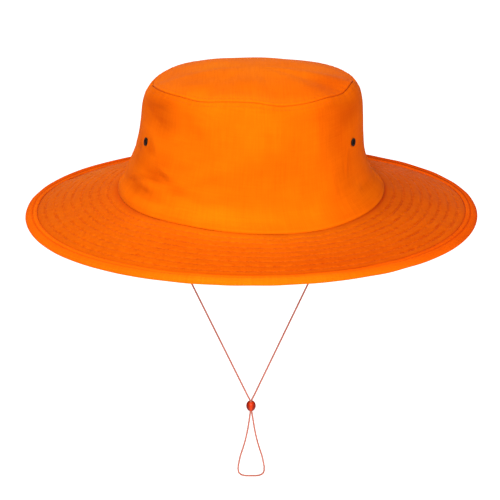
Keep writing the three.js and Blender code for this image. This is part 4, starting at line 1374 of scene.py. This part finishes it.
class HAT_OT_chin_cord(bpy.types.Operator):
    """Builds the braided chin cord at its real length, and the bead on it"""
    bl_idname = "hat.chin_cord"
    bl_label = "Chin Cord"

    def execute(self, context):
        hat = Hat(context.scene.hat_sizes)
        colours = context.scene.hat_colours
        plastic = bead_material("bead plastic", colours.bead, np.array(BEAD_CENTRE) * MM)
        bead = threaded_bead(hat, plastic)
        braid = thread_material("braided cord", colours.cord, 3000.0, 110.0)
        cord, route, real_length = braided_cord(hat, braid)
        return {"FINISHED"}


class HAT_OT_crown(bpy.types.Operator):
    """Builds the two halves of the crown wall and the top panel"""
    bl_idname = "hat.crown"
    bl_label = "Crown"

    def execute(self, context):
        hat = Hat(context.scene.hat_sizes)
        base = context.scene.hat_colours.crown
        wall = cloth_material("crown cotton", base, cloud=0.8, brown=0.65)
        crown_panel("crown_front", hat, -90, 90, wall)
        crown_panel("crown_back", hat, 90, 270, wall)
        crown_top(hat, cloth_material("top panel cotton", base, sheen=0.04, planar=True))
        return {"FINISHED"}


class HAT_OT_brim(bpy.types.Operator):
    """Builds the quilted brim and the binding round its edge"""
    bl_idname = "hat.brim"
    bl_label = "Brim"

    def execute(self, context):
        hat = Hat(context.scene.hat_sizes)
        colours = context.scene.hat_colours
        rows = (hat.size.first_row, hat.size.row_step, float(len(hat.brim_rows()) - 1))
        wide_brim(hat, cloth_material(
            "brim cotton", colours.brim, slub=0.35, sheen=0.05, planar=True, rows=rows))
        edge_binding(hat, cloth_material("binding cotton", colours.binding))
        return {"FINISHED"}


class HAT_OT_sweatband(bpy.types.Operator):
    """Builds the plain band inside the crown"""
    bl_idname = "hat.sweatband"
    bl_label = "Sweatband"

    def execute(self, context):
        hat = Hat(context.scene.hat_sizes)
        inner_band(hat, cloth_material("sweatband cotton", context.scene.hat_colours.sweatband))
        return {"FINISHED"}


class HAT_OT_eyelets(bpy.types.Operator):
    """Builds the four black eyelets"""
    bl_idname = "hat.eyelets"
    bl_label = "Eyelets"

    def execute(self, context):
        hat = Hat(context.scene.hat_sizes)
        enamel = enamel_material("black enamel", context.scene.hat_colours.eyelet)
        for node, azimuth, height in EYELETS:
            eyelet(node, hat, azimuth, height, enamel)
        return {"FINISHED"}


class HAT_OT_stitching(bpy.types.Operator):
    """Sews the rows of stitches over brim, binding, crown and sweatband"""
    bl_idname = "hat.stitching"
    bl_label = "Stitching"

    def execute(self, context):
        hat = Hat(context.scene.hat_sizes)
        thread = thread_material("sewing thread", context.scene.hat_colours.thread)
        rows = {
            "brim_stitching": (brim_stitch_lines(hat, hat.brim_surface, 1), "brim_cloth"),
            "under_brim_stitching": (brim_stitch_lines(hat, hat.under_surface, -1), "brim_cloth"),
            "binding_stitching": (binding_stitch_lines(hat), "binding_cloth"),
            "crown_stitching": (crown_stitch_lines(hat), "crown_cloth"),
            "sweatband_stitching": (band_stitch_lines(hat), "sweatband_cloth"),
        }
        for name, (lines, slot) in rows.items():
            add_piece(stitches_mesh(name, lines, hat.size), thread, ())
        return {"FINISHED"}


class HAT_PT_sidebar(bpy.types.Panel):
    """Lists the hat's pieces, sizes and colours"""
    bl_idname = "HAT_PT_sidebar"
    bl_label = "Cricket Hat"
    bl_space_type = "VIEW_3D"
    bl_region_type = "UI"
    bl_category = "Hat"

    def draw(self, context):
        for step in STEPS:
            self.layout.operator(step.bl_idname)
        for group in (context.scene.hat_sizes, context.scene.hat_colours):
            for name in group.bl_rna.properties.keys():
                if name not in ("rna_type", "name"):
                    self.layout.prop(group, name)


STEPS = (
    HAT_OT_stage, HAT_OT_chin_cord, HAT_OT_crown, HAT_OT_brim, HAT_OT_sweatband,
    HAT_OT_eyelets, HAT_OT_stitching,
)
CLASSES = (HatSizes, HatColours, *STEPS, HAT_PT_sidebar)


def register():
    for cls in CLASSES:
        bpy.utils.register_class(cls)
    bpy.types.Scene.hat_sizes = bpy.props.PointerProperty(type=HatSizes)
    bpy.types.Scene.hat_colours = bpy.props.PointerProperty(type=HatColours)


def unregister():
    del bpy.types.Scene.hat_colours
    del bpy.types.Scene.hat_sizes
    for cls in reversed(CLASSES):
        bpy.utils.unregister_class(cls)


def main():
    register()
    bpy.ops.hat.stage()
    bpy.ops.hat.chin_cord()
    bpy.ops.hat.crown()
    bpy.ops.hat.brim()
    bpy.ops.hat.sweatband()
    bpy.ops.hat.eyelets()
    bpy.ops.hat.stitching()


if __name__ == "__main__":
    main()
